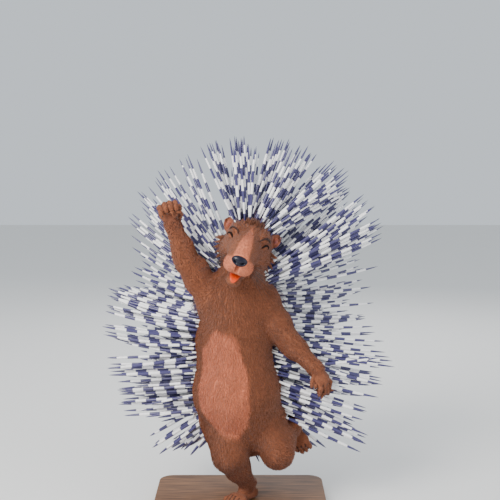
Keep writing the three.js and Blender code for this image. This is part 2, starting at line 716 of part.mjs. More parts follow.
function grow(owner, root, normal, way, { radius, sink, length, shortest, longest, blunt = false }) {
  for (let attempt = 0; attempt < ATTEMPTS; attempt++) {
    const loose = 0.05 + 0.035 * attempt;
    const jitter = V(between(-loose, loose), between(-loose, loose), between(-loose, loose));
    const turned = way.clone().add(jitter).addScaledVector(normal, 0.05 * attempt).normalize();
    const full = length ?? clamp(toReach(root, turned), shortest, longest) * between(0.9, 1.01);
    const bow = lerp(FAN.bow.low, FAN.bow.high, shareOf(root.z, FAN.bow));
    const path = quillPath(root, turned, full, blunt ? 0 : bow);
    const points = clears(path, radius, owner);
    if (!points) continue;
    placed.push({ points, radius });
    const start = -sink / full;
    return blunt
      ? rod([start, 0.5, 0.6, 0.97].map(path), [0.9, 0.9, radius, radius * 0.85], 3)
      : rod([start, 0.42, 1].map(path), [radius * 0.75, radius, 0], 3, 1, V(0.3, 0.2, 0.9));
  }
  return null;
}

// Rows of roots round the trunk, from the rump to the nape
function widestTurn(height) {
  const { rump, back, nape } = ROWS.widest;
  return height > TORSO_TOP ? nape : lerp(rump, back, shareOf(height, { from: 205, to: 250 }));
}
function trunkQuills({ lowest, highest }, kind) {
  const made = [];
  const from = alongSpine(lowest);
  const to = alongSpine(highest);
  const rows = Math.round(((to - from) * spineLength) / kind.spacing);
  for (let row = 0; row <= rows; row++) {
    const u = lerp(from, to, row / rows);
    const widest = widestTurn(lerp(lowest, highest, row / rows));
    const girth = surface(trunk, spine.getPointAt(u), BACK).distanceTo(spine.getPointAt(u));
    const count = Math.round((girth * degToRad(2 * widest)) / kind.spacing);
    for (let k = 0; k <= count; k++) {
      const share = (k + (row % 2 ? 0.5 : 0)) / count;
      if (share > 1) continue;
      const turn = degToRad(lerp(-widest, widest, share) + between(-2.5, 2.5));
      const centre = spine.getPointAt(clamp(u + between(-4, 4) / spineLength, 0, 1));
      const root = surface(trunk, centre, aroundLine(spine.getTangentAt(u), BACK, turn));
      const normal = outward(trunk, root);
      const quill = grow("trunk", root, normal, quillWay(root, normal), kind);
      if (quill) made.push(solid(quill));
    }
  }
  return made;
}
const backQuills = trunkQuills(ROWS.back, QUILL);
const napeQuills = trunkQuills(ROWS.nape, NAPE);

// The rump's underside, below the first row
const rumpQuills = [];
const RUMP = { drops: [22, 44], count: 10, widest: 84, short: 120, long: 170 };
for (const fall of RUMP.drops)
  for (let k = 0; k < RUMP.count; k++) {
    const turn = degToRad(lerp(-RUMP.widest, RUMP.widest, k / (RUMP.count - 1)));
    const drop = degToRad(fall);
    const way = V(-Math.sin(turn) * Math.cos(drop), Math.cos(turn) * Math.cos(drop), -Math.sin(drop));
    const root = surface(trunk, spine.getPointAt(0), way);
    const normal = outward(trunk, root);
    const kind = { ...QUILL, length: between(RUMP.short, RUMP.long) };
    const quill = grow("trunk", root, normal, quillWay(root, normal), kind);
    if (quill) rumpQuills.push(solid(quill));
  }

// The crown's crest, from behind the brow to the back of the head
const crownQuills = [];
const CROWN = { middle: V(0, 16, 8), first: 66, last: 156, rows: 6, each: 8, widest: 62 };
for (let row = 0; row < CROWN.rows; row++) {
  const tilt = degToRad(lerp(CROWN.first, CROWN.last, row / (CROWN.rows - 1)));
  const count = CROWN.each - 1 + (row % 2);
  for (let k = 0; k <= count; k++) {
    const turn = degToRad(lerp(-CROWN.widest, CROWN.widest, k / count) + between(-2, 2));
    const local = V(Math.sin(turn), -Math.cos(tilt) * Math.cos(turn), Math.sin(tilt) * Math.cos(turn));
    const rootLocal = surface(headFlesh, CROWN.middle, local);
    const normal = outward(headFlesh, rootLocal).transformDirection(headWorld);
    const root = rootLocal.clone().applyMatrix4(headWorld);
    const quill = grow("head", root, normal, crownWay(root), CREST);
    if (quill) crownQuills.push(solid(quill));
  }
}

// The tail's short spines, and the blunt hollow rattle quills at its end
const tailQuills = [];
const TAIL = { rows: 4, each: 6, first: 0.3, spines: 2, most: 60 };
for (let row = 0; row < TAIL.rows; row++)
  for (let k = 0; k < TAIL.each; k++) {
    const u = lerp(TAIL.first, 1, row / (TAIL.rows - 1));
    const along = tailLine.getTangentAt(u);
    const way = aroundLine(along, UP, (2 * Math.PI * (k + (row % 2) / 2)) / TAIL.each);
    const root = surface(tailFlesh, tailLine.getPointAt(u), way, 0, TAIL.most);
    const rattle = row >= TAIL.spines;
    const lie = along.clone().multiplyScalar(rattle ? 1.2 : 0.8).add(way).normalize();
    const kind = rattle
      ? { radius: 3, sink: 8, length: between(58, 70), blunt: true }
      : { radius: 2.4, sink: 8, length: between(60, 95) };
    const quill = grow("tail", root, way, lie, kind);
    if (quill) tailQuills.push(solid(quill));
  }

// The flanks low down, where the thighs cover the rump
const THIGH = { heights: [212, 236, 260], turns: [64, 78, 92] };
function thighQuills(leg, side) {
  const made = [];
  const rump = (p) => Math.min(trunk(p), leg.flesh(p));
  for (const height of THIGH.heights)
    for (const degrees of THIGH.turns) {
      const centre = spine.getPointAt(alongSpine(height));
      const turn = degToRad(side * degrees + between(-2.5, 2.5));
      const root = surface(rump, centre, aroundLine(spine.getTangentAt(alongSpine(height)), BACK, turn));
      if (leg.flesh(root) > trunk(root)) continue;
      const normal = outward(leg.flesh, root);
      const quill = grow("limbs", root, normal, quillWay(root, normal), QUILL);
      if (quill) made.push(solid(quill));
    }
  return made;
}
const thighRightQuills = thighQuills(legRight, 1);
const thighLeftQuills = thighQuills(legLeft, -1);

// Base: a rounded board with bevelled edges
function board() {
  const { width, depth, height, corner, bevel } = BASE;
  const w = width / 2 - bevel;
  const d = depth / 2 - bevel;
  const r = corner - bevel;
  const outline = new THREE.Shape();
  outline.moveTo(-w + r, -d).lineTo(w - r, -d).absarc(w - r, -d + r, r, -Math.PI / 2, 0);
  outline.lineTo(w, d - r).absarc(w - r, d - r, r, 0, Math.PI / 2);
  outline.lineTo(-w + r, d).absarc(-w + r, d - r, r, Math.PI / 2, Math.PI);
  outline.lineTo(-w, -d + r).absarc(-w + r, -d + r, r, Math.PI, 1.5 * Math.PI);
  const shape = new THREE.ExtrudeGeometry(outline, {
    depth: height - 2 * bevel,
    bevelSize: bevel,
    bevelThickness: bevel,
    bevelSegments: 1,
    curveSegments: 4,
  });
  return solid(shape.translate(0, 0, bevel));
}

// Finishes
const finish = (color, roughness) => new THREE.MeshStandardMaterial({ color, roughness, metalness: 0 });
const FINISH = {
  brown: finish(0x89573f, 0.9),
  tan: finish(0xba785f, 0.9),
  quilled: finish(0x4d4b7c, 0.6),
  nose: finish(0x1c1e37, 0.25),
  tongue: finish(0xcb4f21, 0.35),
  claw: finish(0x3a2c28, 0.4),
  wood: finish(0x6b4a30, 0.5),
};

// Scene graph: each node's mesh sits at its own joint, and the head and paws are groups that carry the rest
const porcupine = new THREE.Group();
function addNode(group, name, made, material, joint) {
  const mesh = made.getMesh();
  const geometry = new THREE.BufferGeometry();
  geometry.setAttribute("position", new THREE.BufferAttribute(new Float32Array(mesh.vertProperties), 3));
  geometry.setIndex(new THREE.BufferAttribute(new Uint32Array(mesh.triVerts), 1));
  if (joint) geometry.translate(-joint.x, -joint.y, -joint.z);
  const node = new THREE.Mesh(geometry, material);
  node.name = name;
  if (joint) node.position.copy(joint);
  group.add(node);
}
const { brown, quilled, nose: noseFinish, tongue: tongueFinish, claw: clawFinish, wood } = FINISH;

const torsoCutter = torsoBody(GAP);
const neckCutter = neckBody(GAP);
const headCutterWorld = toWorld(headCutter, headWorld);
const trunkCutter = joined([torsoCutter, neckCutter, collar]);
const fromTrunk = (made) => largest(made.subtract(trunkCutter));

const torso = largest(joined([torsoBody(0), ...backQuills, ...rumpQuills]));
const bareNeck = largest(neckBody(0).subtract(headCutterWorld).subtract(torsoCutter));
const neck = largest(joined([bareNeck, ...napeQuills]));
const tail = largest(joined([fromTrunk(tailBody), ...tailQuills]));
addNode(porcupine, "torso", torso, quilled, V(12, 30, 225));
addNode(porcupine, "neck", neck, quilled, V(-2, 12, TORSO_TOP));
addNode(porcupine, "tail", tail, quilled, V(12, 92, 196));
addNode(porcupine, "arm_right_upper", fromTrunk(armRight.upper(0)), brown, V(-66, 0, 560));
addNode(porcupine, "arm_right_fore", armRight.lower(0), brown, V(-136, -22, 668));
addNode(porcupine, "arm_left_upper", fromTrunk(armLeft.upper(0)), brown, V(58, 0, 556));
addNode(porcupine, "arm_left_fore", armLeft.lower(0), brown, V(124, -20, 462));
const thighRight = fromTrunk(joined([legRight.upper(0), ...thighRightQuills]));
const thighLeft = fromTrunk(joined([legLeft.upper(0), ...thighLeftQuills]));
addNode(porcupine, "leg_right_thigh", thighRight, brown, V(-40, 22, 236));
addNode(porcupine, "leg_right_shin", fromTrunk(legRight.lower(0)), brown, V(-27, -58, 166));
addNode(porcupine, "leg_left_thigh", thighLeft, brown, V(56, 22, 244));
addNode(porcupine, "leg_left_shin", fromTrunk(legLeft.lower(0)), brown, V(98, -44, 168));

for (const [name, part] of Object.entries({
  hand_right: handRight,
  hand_left: handLeft,
  foot_right: footRight,
  foot_left: footLeft,
})) {
  addNode(part.group, name, part.body, brown);
  part.claws.forEach((made, i) => addNode(part.group, name + "_claw_" + (i + 1), made, clawFinish));
  porcupine.add(part.group);
}

const crest = crownQuills.map((quill) => toWorld(quill, headLocal));
const jawCutter = jawBody(GAP);
const trunkInHead = toWorld(trunkCutter, headLocal);
const tufts = joined(tuftLines.map(tuftSolid)).subtract(trunkInHead);
const headSolid = largest(joined([skull(0).subtract(cleft), tufts, ...crest]));
const jaw = largest(jawBody(0).subtract(headCutter).subtract(trunkInHead));
const tongue = largest(solid(tongueBody).subtract(headCutter).subtract(jawCutter));
addNode(headGroup, "head", headSolid, brown);
addNode(headGroup, "jaw", jaw, brown);
addNode(headGroup, "tongue", tongue, tongueFinish);
addNode(headGroup, "nose", nose(), noseFinish);
for (const [side, name] of [
  [-1, "right"],
  [1, "left"],
]) {
  addNode(headGroup, "ear_" + name, ear(side), brown);
  addNode(headGroup, "eyelid_" + name, eyelid(side), brown);
}
porcupine.add(headGroup);

addNode(porcupine, "stand_base", board(), wood);

export default porcupine;
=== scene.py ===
# %% [markdown]
# # A crested porcupine, standing on one hind foot
# A porcupine is a soft animal inside a fan of hard quills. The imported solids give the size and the
# pose. This file dresses them: one skin over the flesh, short fur on the skin, banded quills on the
# back, and horn, leather and wood where the animal and its base have them. Lengths on the animal are
# in millimetres, because an animal is easier to think of that way, and turn into Blender's metres
# where a mesh takes them. The camera and the lights are placed in metres.

# %% Load the frame
import json
import math

import bmesh
import bpy
import numpy as np
from mathutils import Matrix, Vector
from mathutils.kdtree import KDTree

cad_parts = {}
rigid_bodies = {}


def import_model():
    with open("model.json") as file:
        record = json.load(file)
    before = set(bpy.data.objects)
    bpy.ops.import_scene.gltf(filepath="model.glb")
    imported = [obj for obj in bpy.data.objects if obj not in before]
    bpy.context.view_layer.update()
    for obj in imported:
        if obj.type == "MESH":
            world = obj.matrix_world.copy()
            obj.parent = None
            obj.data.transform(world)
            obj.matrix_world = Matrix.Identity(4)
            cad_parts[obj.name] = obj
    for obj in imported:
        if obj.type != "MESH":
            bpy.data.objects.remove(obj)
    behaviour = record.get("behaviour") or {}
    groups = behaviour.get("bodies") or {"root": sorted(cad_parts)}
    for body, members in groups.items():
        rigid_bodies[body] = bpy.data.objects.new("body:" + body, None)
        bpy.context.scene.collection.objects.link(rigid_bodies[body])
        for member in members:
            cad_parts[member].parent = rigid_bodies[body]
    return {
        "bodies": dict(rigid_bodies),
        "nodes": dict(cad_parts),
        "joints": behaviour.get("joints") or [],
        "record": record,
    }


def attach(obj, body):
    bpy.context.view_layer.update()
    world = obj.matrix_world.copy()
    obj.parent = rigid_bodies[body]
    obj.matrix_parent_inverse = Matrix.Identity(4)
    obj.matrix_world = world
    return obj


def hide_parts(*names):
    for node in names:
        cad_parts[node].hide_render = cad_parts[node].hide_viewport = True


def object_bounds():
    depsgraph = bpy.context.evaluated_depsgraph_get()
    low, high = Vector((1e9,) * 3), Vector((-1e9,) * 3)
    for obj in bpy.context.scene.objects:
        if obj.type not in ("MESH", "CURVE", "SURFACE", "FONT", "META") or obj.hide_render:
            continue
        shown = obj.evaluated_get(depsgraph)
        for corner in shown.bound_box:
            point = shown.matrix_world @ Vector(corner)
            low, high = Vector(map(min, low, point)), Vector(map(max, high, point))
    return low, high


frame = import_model()
solid_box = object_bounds()
MM = 0.001
draw = np.random.default_rng(4)
print("solids", len(frame["nodes"]), "box", [round(x, 3) for x in (*solid_box[0], *solid_box[1])])

# %% [markdown]
# ## The camera
# The picture shows the animal from the front and a little above, from about two and a half metres.
# The camera comes first, so that the scene has the picture's framing from the start.

# %% Camera
def put_in_scene(name, data):
    thing = bpy.data.objects.new(name, data)
    bpy.context.scene.collection.objects.link(thing)
    return thing


def look_at(thing, place, aim):
    thing.location = place
    thing.rotation_mode = "QUATERNION"
    thing.rotation_quaternion = (Vector(aim) - Vector(place)).to_track_quat("-Z", "Y")


EYE = Vector((0.026, -2.585, 0.98))
AIM = Vector((0.026, 0.0, 0.696))
camera = put_in_scene("camera", bpy.data.cameras.new("camera"))
bpy.context.scene.camera = camera
camera.data.lens = 72
look_at(camera, EYE, AIM)
print("camera looks down by", round(math.degrees(math.asin((EYE.z - AIM.z) / (EYE - AIM).length)), 1))

# %% [markdown]
# ## Flesh as soft masses
# A sculptor starts an animal from balls and tapered rods, pressed together. The same can be said in
# numbers: a lump is an egg, a bone is a rod that is thicker at one end, and a soft minimum melts one
# into the next. The value at a point is about its distance to the surface, negative inside. These are
# the masses of the solids, so the skin fits them.

# %% Masses and how they melt together
def lump_distance(points, centre, radii):
    offset = (points - centre) / radii
    near = np.linalg.norm(offset, axis=1)
    steep = np.linalg.norm(offset / radii, axis=1)
    return near * (near - 1) / np.maximum(steep, 1e-6)


def bone_distance(points, start, end, thick, thin):
    along = end - start
    share = np.clip((points - start) @ along / (along @ along), 0, 1)
    nearest = start + share[:, None] * along
    return np.linalg.norm(points - nearest, axis=1) - (thick + (thin - thick) * share)


def melt(a, b, softness):
    overlap = np.maximum(softness - np.abs(a - b), 0) / softness
    return np.minimum(a, b) - overlap * overlap * softness / 4


def lump(centre, radii):
    return "lump", np.array(centre, float), np.array(radii, float)


def bone(start, end, thick, thin):
    return "bone", np.array(start, float), np.array(end, float), thick, thin


def both(make):
    return [make(-1), make(1)]


# %% [markdown]
# ## Where each part of the body sits
# The trunk and the limbs are given straight in the frame. The head and the paws are easier in frames
# of their own: the head with its nose along -Y, a paw with its digits along +Z and its palm to -Y.

# %% Frames of the head and the paws
HEAD_PLACE = (20, -34, 716)
HEAD_PITCH, HEAD_ROLL, HEAD_YAW = (math.radians(a) for a in (15, 20, -4))
HEAD_FRAME = np.array(
    Matrix.Translation(HEAD_PLACE)
    @ Matrix.Rotation(HEAD_YAW, 4, "Z")
    @ Matrix.Rotation(HEAD_ROLL, 4, "Y")
    @ Matrix.Rotation(HEAD_PITCH, 4, "X")
)


def paw_frame(place, along, palm_way):
    z = Vector(along).normalized()
    y = Vector(palm_way)
    y = -(y - z * y.dot(z)).normalized()
    x = y.cross(z)
    turn = Matrix((x, y, z)).transposed().to_4x4()
    return np.array(Matrix.Translation(place) @ turn)


# %% Digits as chains of bones
FIRST_FINGER, FINGER_STEP, KNUCKLES = -20, 13.2, 44
TOE_STEP, LONGEST_TOE, TOE_LOSS = 11.4, 97, 6.5
DIGIT_TAPER = 0.78


def bones_through(points, radius):
    """A chain of bones through the points of a digit, thinner towards its end."""
    count = len(points)
    sizes = [radius * (1 + (DIGIT_TAPER - 1) * i / count) for i in range(count)]
    return [bone(points[i], points[i + 1], sizes[i], sizes[i + 1]) for i in range(count - 1)]


def fist_digit(i, lift):
    x, high = FIRST_FINGER + FINGER_STEP * i, KNUCKLES + lift
    rise = [(x, 0, high - 12), (x, -6, high + 8), (x, -19, high + 11)]
    return [*rise, (x, -26, high + 3), (x, -27, high - 4)]


def open_digit(i, reach):
    x, spread = FIRST_FINGER + FINGER_STEP * i, 1.2 if i in (0, 3) else 1.0
    return [(x, 0, 34), (x * spread, -1, 50), (x * spread, -8, reach - 2), (x * spread, -12, reach + 3)]


def foot_digit(i, droop):
    x, reach = (i - 2) * TOE_STEP, LONGEST_TOE - abs(i - 2.2) * TOE_LOSS
    start = [(x * 0.9, 3, 54), (x, 3 - droop, 73)]
    return [*start, (x * 1.06, -1 - 2 * droop, reach - 8), (x * 1.08, -3 - 2.6 * droop, reach - 3)]


def foot_digits(droop):
    return [foot_digit(i, droop) for i in range(5)]


# %% Palms, fingers and toes
HAND_PALM = [bone((0, 0, -4), (0, 0, 33), 20, 19), lump((0, 1, 29), (28, 15, 24))]
FIST_DIGITS = [fist_digit(i, lift) for i, lift in enumerate([0, 4, 4, 1])]
FIST_THUMB = [(20, -4, 12), (28, -12, 22), (26, -21, 30), (20, -25, 33)]
OPEN_DIGITS = [open_digit(i, reach) for i, reach in enumerate([58, 64, 65, 60])]
OPEN_THUMB = [(-20, -2, 12), (-29, -8, 22), (-32, -13, 30), (-32, -15, 34)]
FOOT_PALM = [
    bone((0, 4, -4), (0, 2, 58), 18, 17),
    lump((0, 4, 56), (27, 15, 26)),
    bone((0, 30, 8), (0, 12, 34), 20, 15),
]
print("digits", len(FIST_DIGITS), "to a hand and", len(foot_digits(0)), "to a foot, without thumbs")

# %% [markdown]
# Each part also says how deep its coat is and which way its hair lies, because the skin sinks by that
# depth and the fur follows that lie. On a porcupine hair runs from the nose back over the head, down
# the trunk, and down each limb to the claws.

# %% Trunk, head and jaw
HERE = np.eye(4)
PARTS = {
    "trunk": dict(
        frame=HERE, softness=40, depth=4.5, lie=(0, 0.1, -1), axis=((14, 20, 140), (0, 6, 690)),
        masses=[
            lump((14, 30, 228), (104, 97, 92)),
            lump((-9, -2, 322), (118, 110, 122)),
            lump((-16, 4, 450), (103, 96, 118)),
            lump((-6, 12, 545), (90, 80, 72)),
            lump((-60, 4, 572), (46, 48, 52)),
            lump((54, 4, 560), (46, 48, 52)),
            bone((-4, 12, 590), (12, -6, 676), 68, 58),
        ],
    ),
    "head": dict(
        frame=HEAD_FRAME, softness=16, depth=3.0, lie=(0, 1, -0.12), axis=((0, -130, 0), (0, 80, 0)),
        masses=[
            lump((0, 18, 9), (60, 64, 60)),
            *both(lambda s: lump((s * 31, -2, -22), (34, 50, 38))),
            bone((0, -22, 4), (0, -92, -10), 51, 36),
            lump((0, -62, 22), (34, 52, 28)),
            *both(lambda s: lump((s * 17, -106, -22), (23, 24, 21))),
            lump((0, -112, 0), (27, 21, 23)),
            *both(lambda s: lump((s * 36, -24, 40), (16, 24, 13))),
        ],
    ),
    "jaw": dict(
        frame=HEAD_FRAME, softness=16, depth=2.0, lie=(0, 1, -0.1), axis=((0, -100, -70), (0, 20, -50)),
        masses=[bone((0, 4, -51), (0, -76, -74), 34, 17), lump((0, -86, -73), (17, 15, 12))],
    ),
}
print("masses of the trunk and the head", [len(part["masses"]) for part in PARTS.values()])

# %% Limbs and tail
PARTS |= {
    "arm_right": dict(
        frame=HERE, softness=14, depth=4, lie=(-0.5, -0.1, 0.85), axis=((-66, 0, 560), (-171, -36, 764)),
        masses=[
            bone((-66, 0, 560), (-136, -22, 668), 46, 32),
            lump((-112, -14, 632), (36, 34, 50)),
            bone((-136, -22, 668), (-171, -36, 764), 31, 22),
            lump((-146, -24, 696), (30, 29, 40)),
        ],
    ),
    "arm_left": dict(
        frame=HERE, softness=14, depth=4, lie=(0.62, -0.2, -0.75), axis=((58, 0, 556), (196, -46, 392)),
        masses=[
            bone((58, 0, 556), (124, -20, 462), 45, 32),
            lump((100, -12, 500), (36, 35, 44)),
            bone((124, -20, 462), (196, -46, 392), 31, 21),
            lump((144, -28, 442), (33, 29, 30)),
        ],
    ),
    "thigh_right": dict(
        frame=HERE, softness=14, depth=4.5, lie=(0.1, -0.4, -0.9), axis=((-40, 22, 260), (-27, -58, 130)),
        masses=[bone((-40, 22, 236), (-27, -58, 166), 70, 45)],
    ),
    "shin_right": dict(
        frame=HERE, softness=14, depth=3.5, lie=(0.4, 0.5, -0.8), axis=((-27, -58, 166), (18, -2, 72)),
        masses=[bone((-27, -58, 166), (18, -2, 72), 42, 23), lump((-8, -34, 128), (35, 36, 42))],
    ),
    "thigh_left": dict(
        frame=HERE, softness=14, depth=4.5, lie=(0.45, -0.5, -0.8), axis=((56, 22, 260), (98, -44, 140)),
        masses=[bone((56, 22, 244), (98, -44, 168), 68, 42)],
    ),
    "shin_left": dict(
        frame=HERE, softness=14, depth=3.5, lie=(0.4, 0.85, 0.2), axis=((98, -44, 168), (140, 50, 214)),
        masses=[bone((98, -44, 168), (140, 50, 214), 39, 22), lump((112, -8, 184), (34, 40, 33))],
    ),
    "tail": dict(
        frame=HERE, softness=14, depth=3, lie=(0, 0.95, -0.3), axis=((12, 92, 196), (14, 196, 160)),
        masses=[bone((12, 92, 196), (14, 196, 160), 33, 14)],
    ),
}
print("parts without the paws", len(PARTS))

# %% The paws join the other parts
PAWS = {
    "hand_right": dict(
        place=(-171, -36, 764), along=(-0.26, -0.1, 0.96), palm_way=(0.12, -1, 0),
        palm=HAND_PALM, digits=FIST_DIGITS, thumb=FIST_THUMB, radius=8.6,
    ),
    "hand_left": dict(
        place=(196, -46, 392), along=(0.5, -0.12, -0.86), palm_way=(-0.55, 0.55, -0.6),
        palm=HAND_PALM, digits=OPEN_DIGITS, thumb=OPEN_THUMB, radius=8.2,
    ),
    "foot_right": dict(
        place=(28, 14, 35.3), along=(-0.62, -0.78, 0), palm_way=(0, 0, -1),
        palm=FOOT_PALM, digits=foot_digits(0), thumb=None, radius=8.4,
    ),
    "foot_left": dict(
        place=(146, 66, 226), along=(0.22, -0.12, -0.97), palm_way=(0.25, 0.96, -0.1),
        palm=FOOT_PALM, digits=foot_digits(2), thumb=None, radius=8.4,
    ),
}
THUMB_SHARE = 0.82  # a thumb is this much of a finger's thickness


def with_thumb(paw):
    return [*paw["digits"], paw["thumb"]] if paw["thumb"] else paw["digits"]


for name, paw in PAWS.items():
    fingers = [b for points in paw["digits"] for b in bones_through(points, paw["radius"])]
    if paw["thumb"]:
        fingers += bones_through(paw["thumb"], paw["radius"] * THUMB_SHARE)
    PARTS[name] = dict(
        frame=paw_frame(paw["place"], paw["along"], paw["palm_way"]), softness=3, depth=1.6,
        lie=(0, 0, 1), axis=((0, 0, -10), (0, 0, 90)), masses=[*paw["palm"], *fingers],
    )
print("parts", len(PARTS), "masses", sum(len(p["masses"]) for p in PARTS.values()))

# %% [markdown]
# The distance to the whole animal melts the parts together as well, so that a shoulder runs into the
# chest. The mouth stays open because the jaw melts into the head only a little.

# %% Distance to a part
def into(frame, points):
    turn, place = frame[:3, :3], frame[:3, 3]
    return (points - place) @ turn


def out_of(frame, points):
    return points @ frame[:3, :3].T + frame[:3, 3]


def mass_box(kind, *sizes):
    if kind == "lump":
        return sizes[0] - sizes[1], sizes[0] + sizes[1]
    return np.minimum(*sizes[:2]) - max(sizes[2:]), np.maximum(*sizes[:2]) + max(sizes[2:])


for part in PARTS.values():
    boxes = [mass_box(*mass) for mass in part["masses"]]
    part["box"] = np.min([b[0] for b in boxes], axis=0), np.max([b[1] for b in boxes], axis=0)
FAR = 45.0  # beyond this, the distance to the part's box is near enough


def part_distance(name, points):
    part = PARTS[name]
    local = into(part["frame"], points)
    low, high = part["box"]
    distance = np.linalg.norm(np.maximum(low - local, 0) + np.maximum(local - high, 0), axis=1)
    close = distance < FAR
    if close.any():
        local, total = local[close], None
        for kind, *sizes in part["masses"]:
            one = lump_distance(local, *sizes) if kind == "lump" else bone_distance(local, *sizes)
            total = one if total is None else melt(total, one, part["softness"])
        distance[close] = total
    return distance


print("boxes round", len(PARTS), "parts")

# %% Ears, lids and the cleft of the lip
EAR = dict(place=(64, 24, 22), radii=(20, 11, 24), hollow=(16, 11, 19.5), shift=6.5)
LID = dict(place=(45, -40, 23), radii=(14, 8.5, 10.5))
CLEFT = dict(place=(0, -133, -29), radii=(2.6, 10, 17))
EAR_TURN, LID_TURN = (-6, 14, 34), (-14, 8, 50)  # degrees of tip, lean and swing


def side_turn(tip, lean, swing, side):
    swung = Matrix.Rotation(side * math.radians(swing), 4, "Z")
    leant = Matrix.Rotation(side * math.radians(lean), 4, "Y")
    return swung @ leant @ Matrix.Rotation(math.radians(tip), 4, "X")


def head_detail_frame(detail, side, tip, lean, swing, out=0.0):
    turn = side_turn(tip, lean, swing, side)
    x, y, z = detail["place"]
    place = Vector((side * x, y, z)) + turn.to_3x3() @ Vector((0, -out, 0))
    return HEAD_FRAME @ np.array(Matrix.Translation(place) @ turn)


EAR_FRAMES = {side: head_detail_frame(EAR, side, *EAR_TURN) for side in (-1, 1)}
CUP_FRAMES = {side: head_detail_frame(EAR, side, *EAR_TURN, out=EAR["shift"]) for side in (-1, 1)}
LID_FRAMES = {side: head_detail_frame(LID, side, *LID_TURN) for side in (-1, 1)}
ZERO = np.zeros(3)


def ear_distance(side, points):
    shell = lump_distance(into(EAR_FRAMES[side], points), ZERO, np.array(EAR["radii"], float))
    cup = lump_distance(into(CUP_FRAMES[side], points), ZERO, np.array(EAR["hollow"], float))
    return -melt(-shell, cup, 3)


def lid_distance(side, points):
    return lump_distance(into(LID_FRAMES[side], points), ZERO, np.array(LID["radii"], float))


# %% Distance to the flesh as a whole
NAMES = list(PARTS)
JOINS = {"jaw": 8, "hand_right": 10, "hand_left": 10, "foot_right": 12, "foot_left": 12, "head": 26}
OTHER_JOINS, EAR_JOIN, LID_JOIN, CLEFT_JOIN = 20, 8, 4, 2
SOLE_LEVEL = 25.3  # the standing foot's sole lies just above the base
CHEST = np.array([[-6.0, 4, 450]])


def distances(points):
    return np.stack([part_distance(name, points) for name in NAMES], axis=1)


def flesh_distance(points, table):
    total = table[:, 0]
    for name, column in zip(NAMES[1:], table.T[1:]):
        total = melt(total, column, JOINS.get(name, OTHER_JOINS))
    for side in (-1, 1):
        total = melt(total, ear_distance(side, points), EAR_JOIN)
        total = melt(total, lid_distance(side, points), LID_JOIN)
    cleft = lump_distance(into(HEAD_FRAME, points), np.array(CLEFT["place"]), np.array(CLEFT["radii"]))
    total = -melt(-total, cleft, CLEFT_JOIN)
    return np.maximum(total, SOLE_LEVEL - points[:, 2])


inside = -flesh_distance(CHEST, distances(CHEST))[0]
print("the middle of the chest lies", round(float(inside)), "mm under the surface")

# %% [markdown]
# ## Weights
# Depth of coat, lie of hair and place on the unwrap all change from part to part. One set of weights,
# larger the nearer a part is, mixes them so that nothing jumps at a shoulder or a knee.

# %% Mix values of the parts by nearness
def nearness(table, reach=9.0):
    weight = np.exp(-(table - table.min(axis=1, keepdims=True)) / reach)
    return weight / weight.sum(axis=1, keepdims=True)


def unit(vectors):
    return vectors / np.maximum(np.linalg.norm(vectors, axis=1, keepdims=True), 1e-9)


DEPTHS = np.array([PARTS[name]["depth"] for name in NAMES], float)
LIES = unit(np.array([PARTS[name]["frame"][:3, :3] @ np.array(PARTS[name]["lie"], float) for name in NAMES]))
print("coat from", DEPTHS.min(), "to", DEPTHS.max(), "mm deep")

# %% [markdown]
# ## The skin
# Balls and rods made with bmesh and fused by a voxel remesh give a closed skin of even squares. Each
# vertex then slides along its normal until it lies at the coat's depth under the surface. The head
# and the paws are subdivided on the way, because the eye rests on them.

# %% Balls and rods
def as_mesh(name, shape):
    mesh = bpy.data.meshes.new(name)
    shape.to_mesh(mesh)
    shape.free()
    return mesh


def press_on(clay, piece, place):
    """Adds a small bmesh to the clay. One big bmesh would clear all its flags at each operator."""
    pressed = as_mesh("pressed", piece)
    pressed.transform(Matrix.Scale(MM, 4) @ place)
    clay.from_mesh(pressed)
    bpy.data.meshes.remove(pressed)


def add_ball(clay, frame, centre, radii):
    ball = bmesh.new()
    bmesh.ops.create_uvsphere(ball, u_segments=24, v_segments=14, radius=1)
    press_on(clay, ball, Matrix(frame) @ Matrix.Translation(centre) @ Matrix.Diagonal((*radii, 1)))


def add_rod(clay, frame, start, end, thick, thin):
    along = Vector(end) - Vector(start)
    rod = bmesh.new()
    bmesh.ops.create_cone(rod, cap_ends=True, segments=20, radius1=thick, radius2=thin, depth=along.length)
    turn = along.to_track_quat("Z", "Y").to_matrix().to_4x4()
    press_on(clay, rod, Matrix(frame) @ Matrix.Translation((Vector(start) + Vector(end)) / 2) @ turn)
    add_ball(clay, frame, start, (thick, thick, thick))
    add_ball(clay, frame, end, (thin, thin, thin))


# %% Fuse them into one skin
clay = bmesh.new()
for part in PARTS.values():
    for kind, *sizes in part["masses"]:
        (add_ball if kind == "lump" else add_rod)(clay, part["frame"], *sizes)
for side in (-1, 1):
    add_ball(clay, EAR_FRAMES[side], ZERO, EAR["radii"])
    add_ball(clay, LID_FRAMES[side], ZERO, LID["radii"])
print("corners of clay", len(clay.verts))
SKIN_SQUARE = 4.2
skin = put_in_scene("skin", as_mesh("skin", clay))
fuse = skin.modifiers.new("fuse", "REMESH")
fuse.mode = "VOXEL"
fuse.voxel_size = SKIN_SQUARE * MM
bpy.context.view_layer.objects.active = skin
skin.select_set(True)
bpy.ops.object.modifier_apply(modifier="fuse")
print("skin squares", len(skin.data.polygons))


# %% Slide the skin onto the animal's surface
def mesh_points(mesh):
    flat = np.empty(len(mesh.vertices) * 3, np.float32)
    mesh.vertices.foreach_get("co", flat)
    return flat.reshape(-1, 3).astype(float) / MM


def put_points(mesh, points):
    mesh.vertices.foreach_set("co", (points * MM).astype(np.float32).ravel())
    mesh.update()


def mesh_normals(mesh):
    flat = np.empty(len(mesh.vertices) * 3, np.float32)
    mesh.vertices.foreach_get("normal", flat)
    return flat.reshape(-1, 3).astype(float)


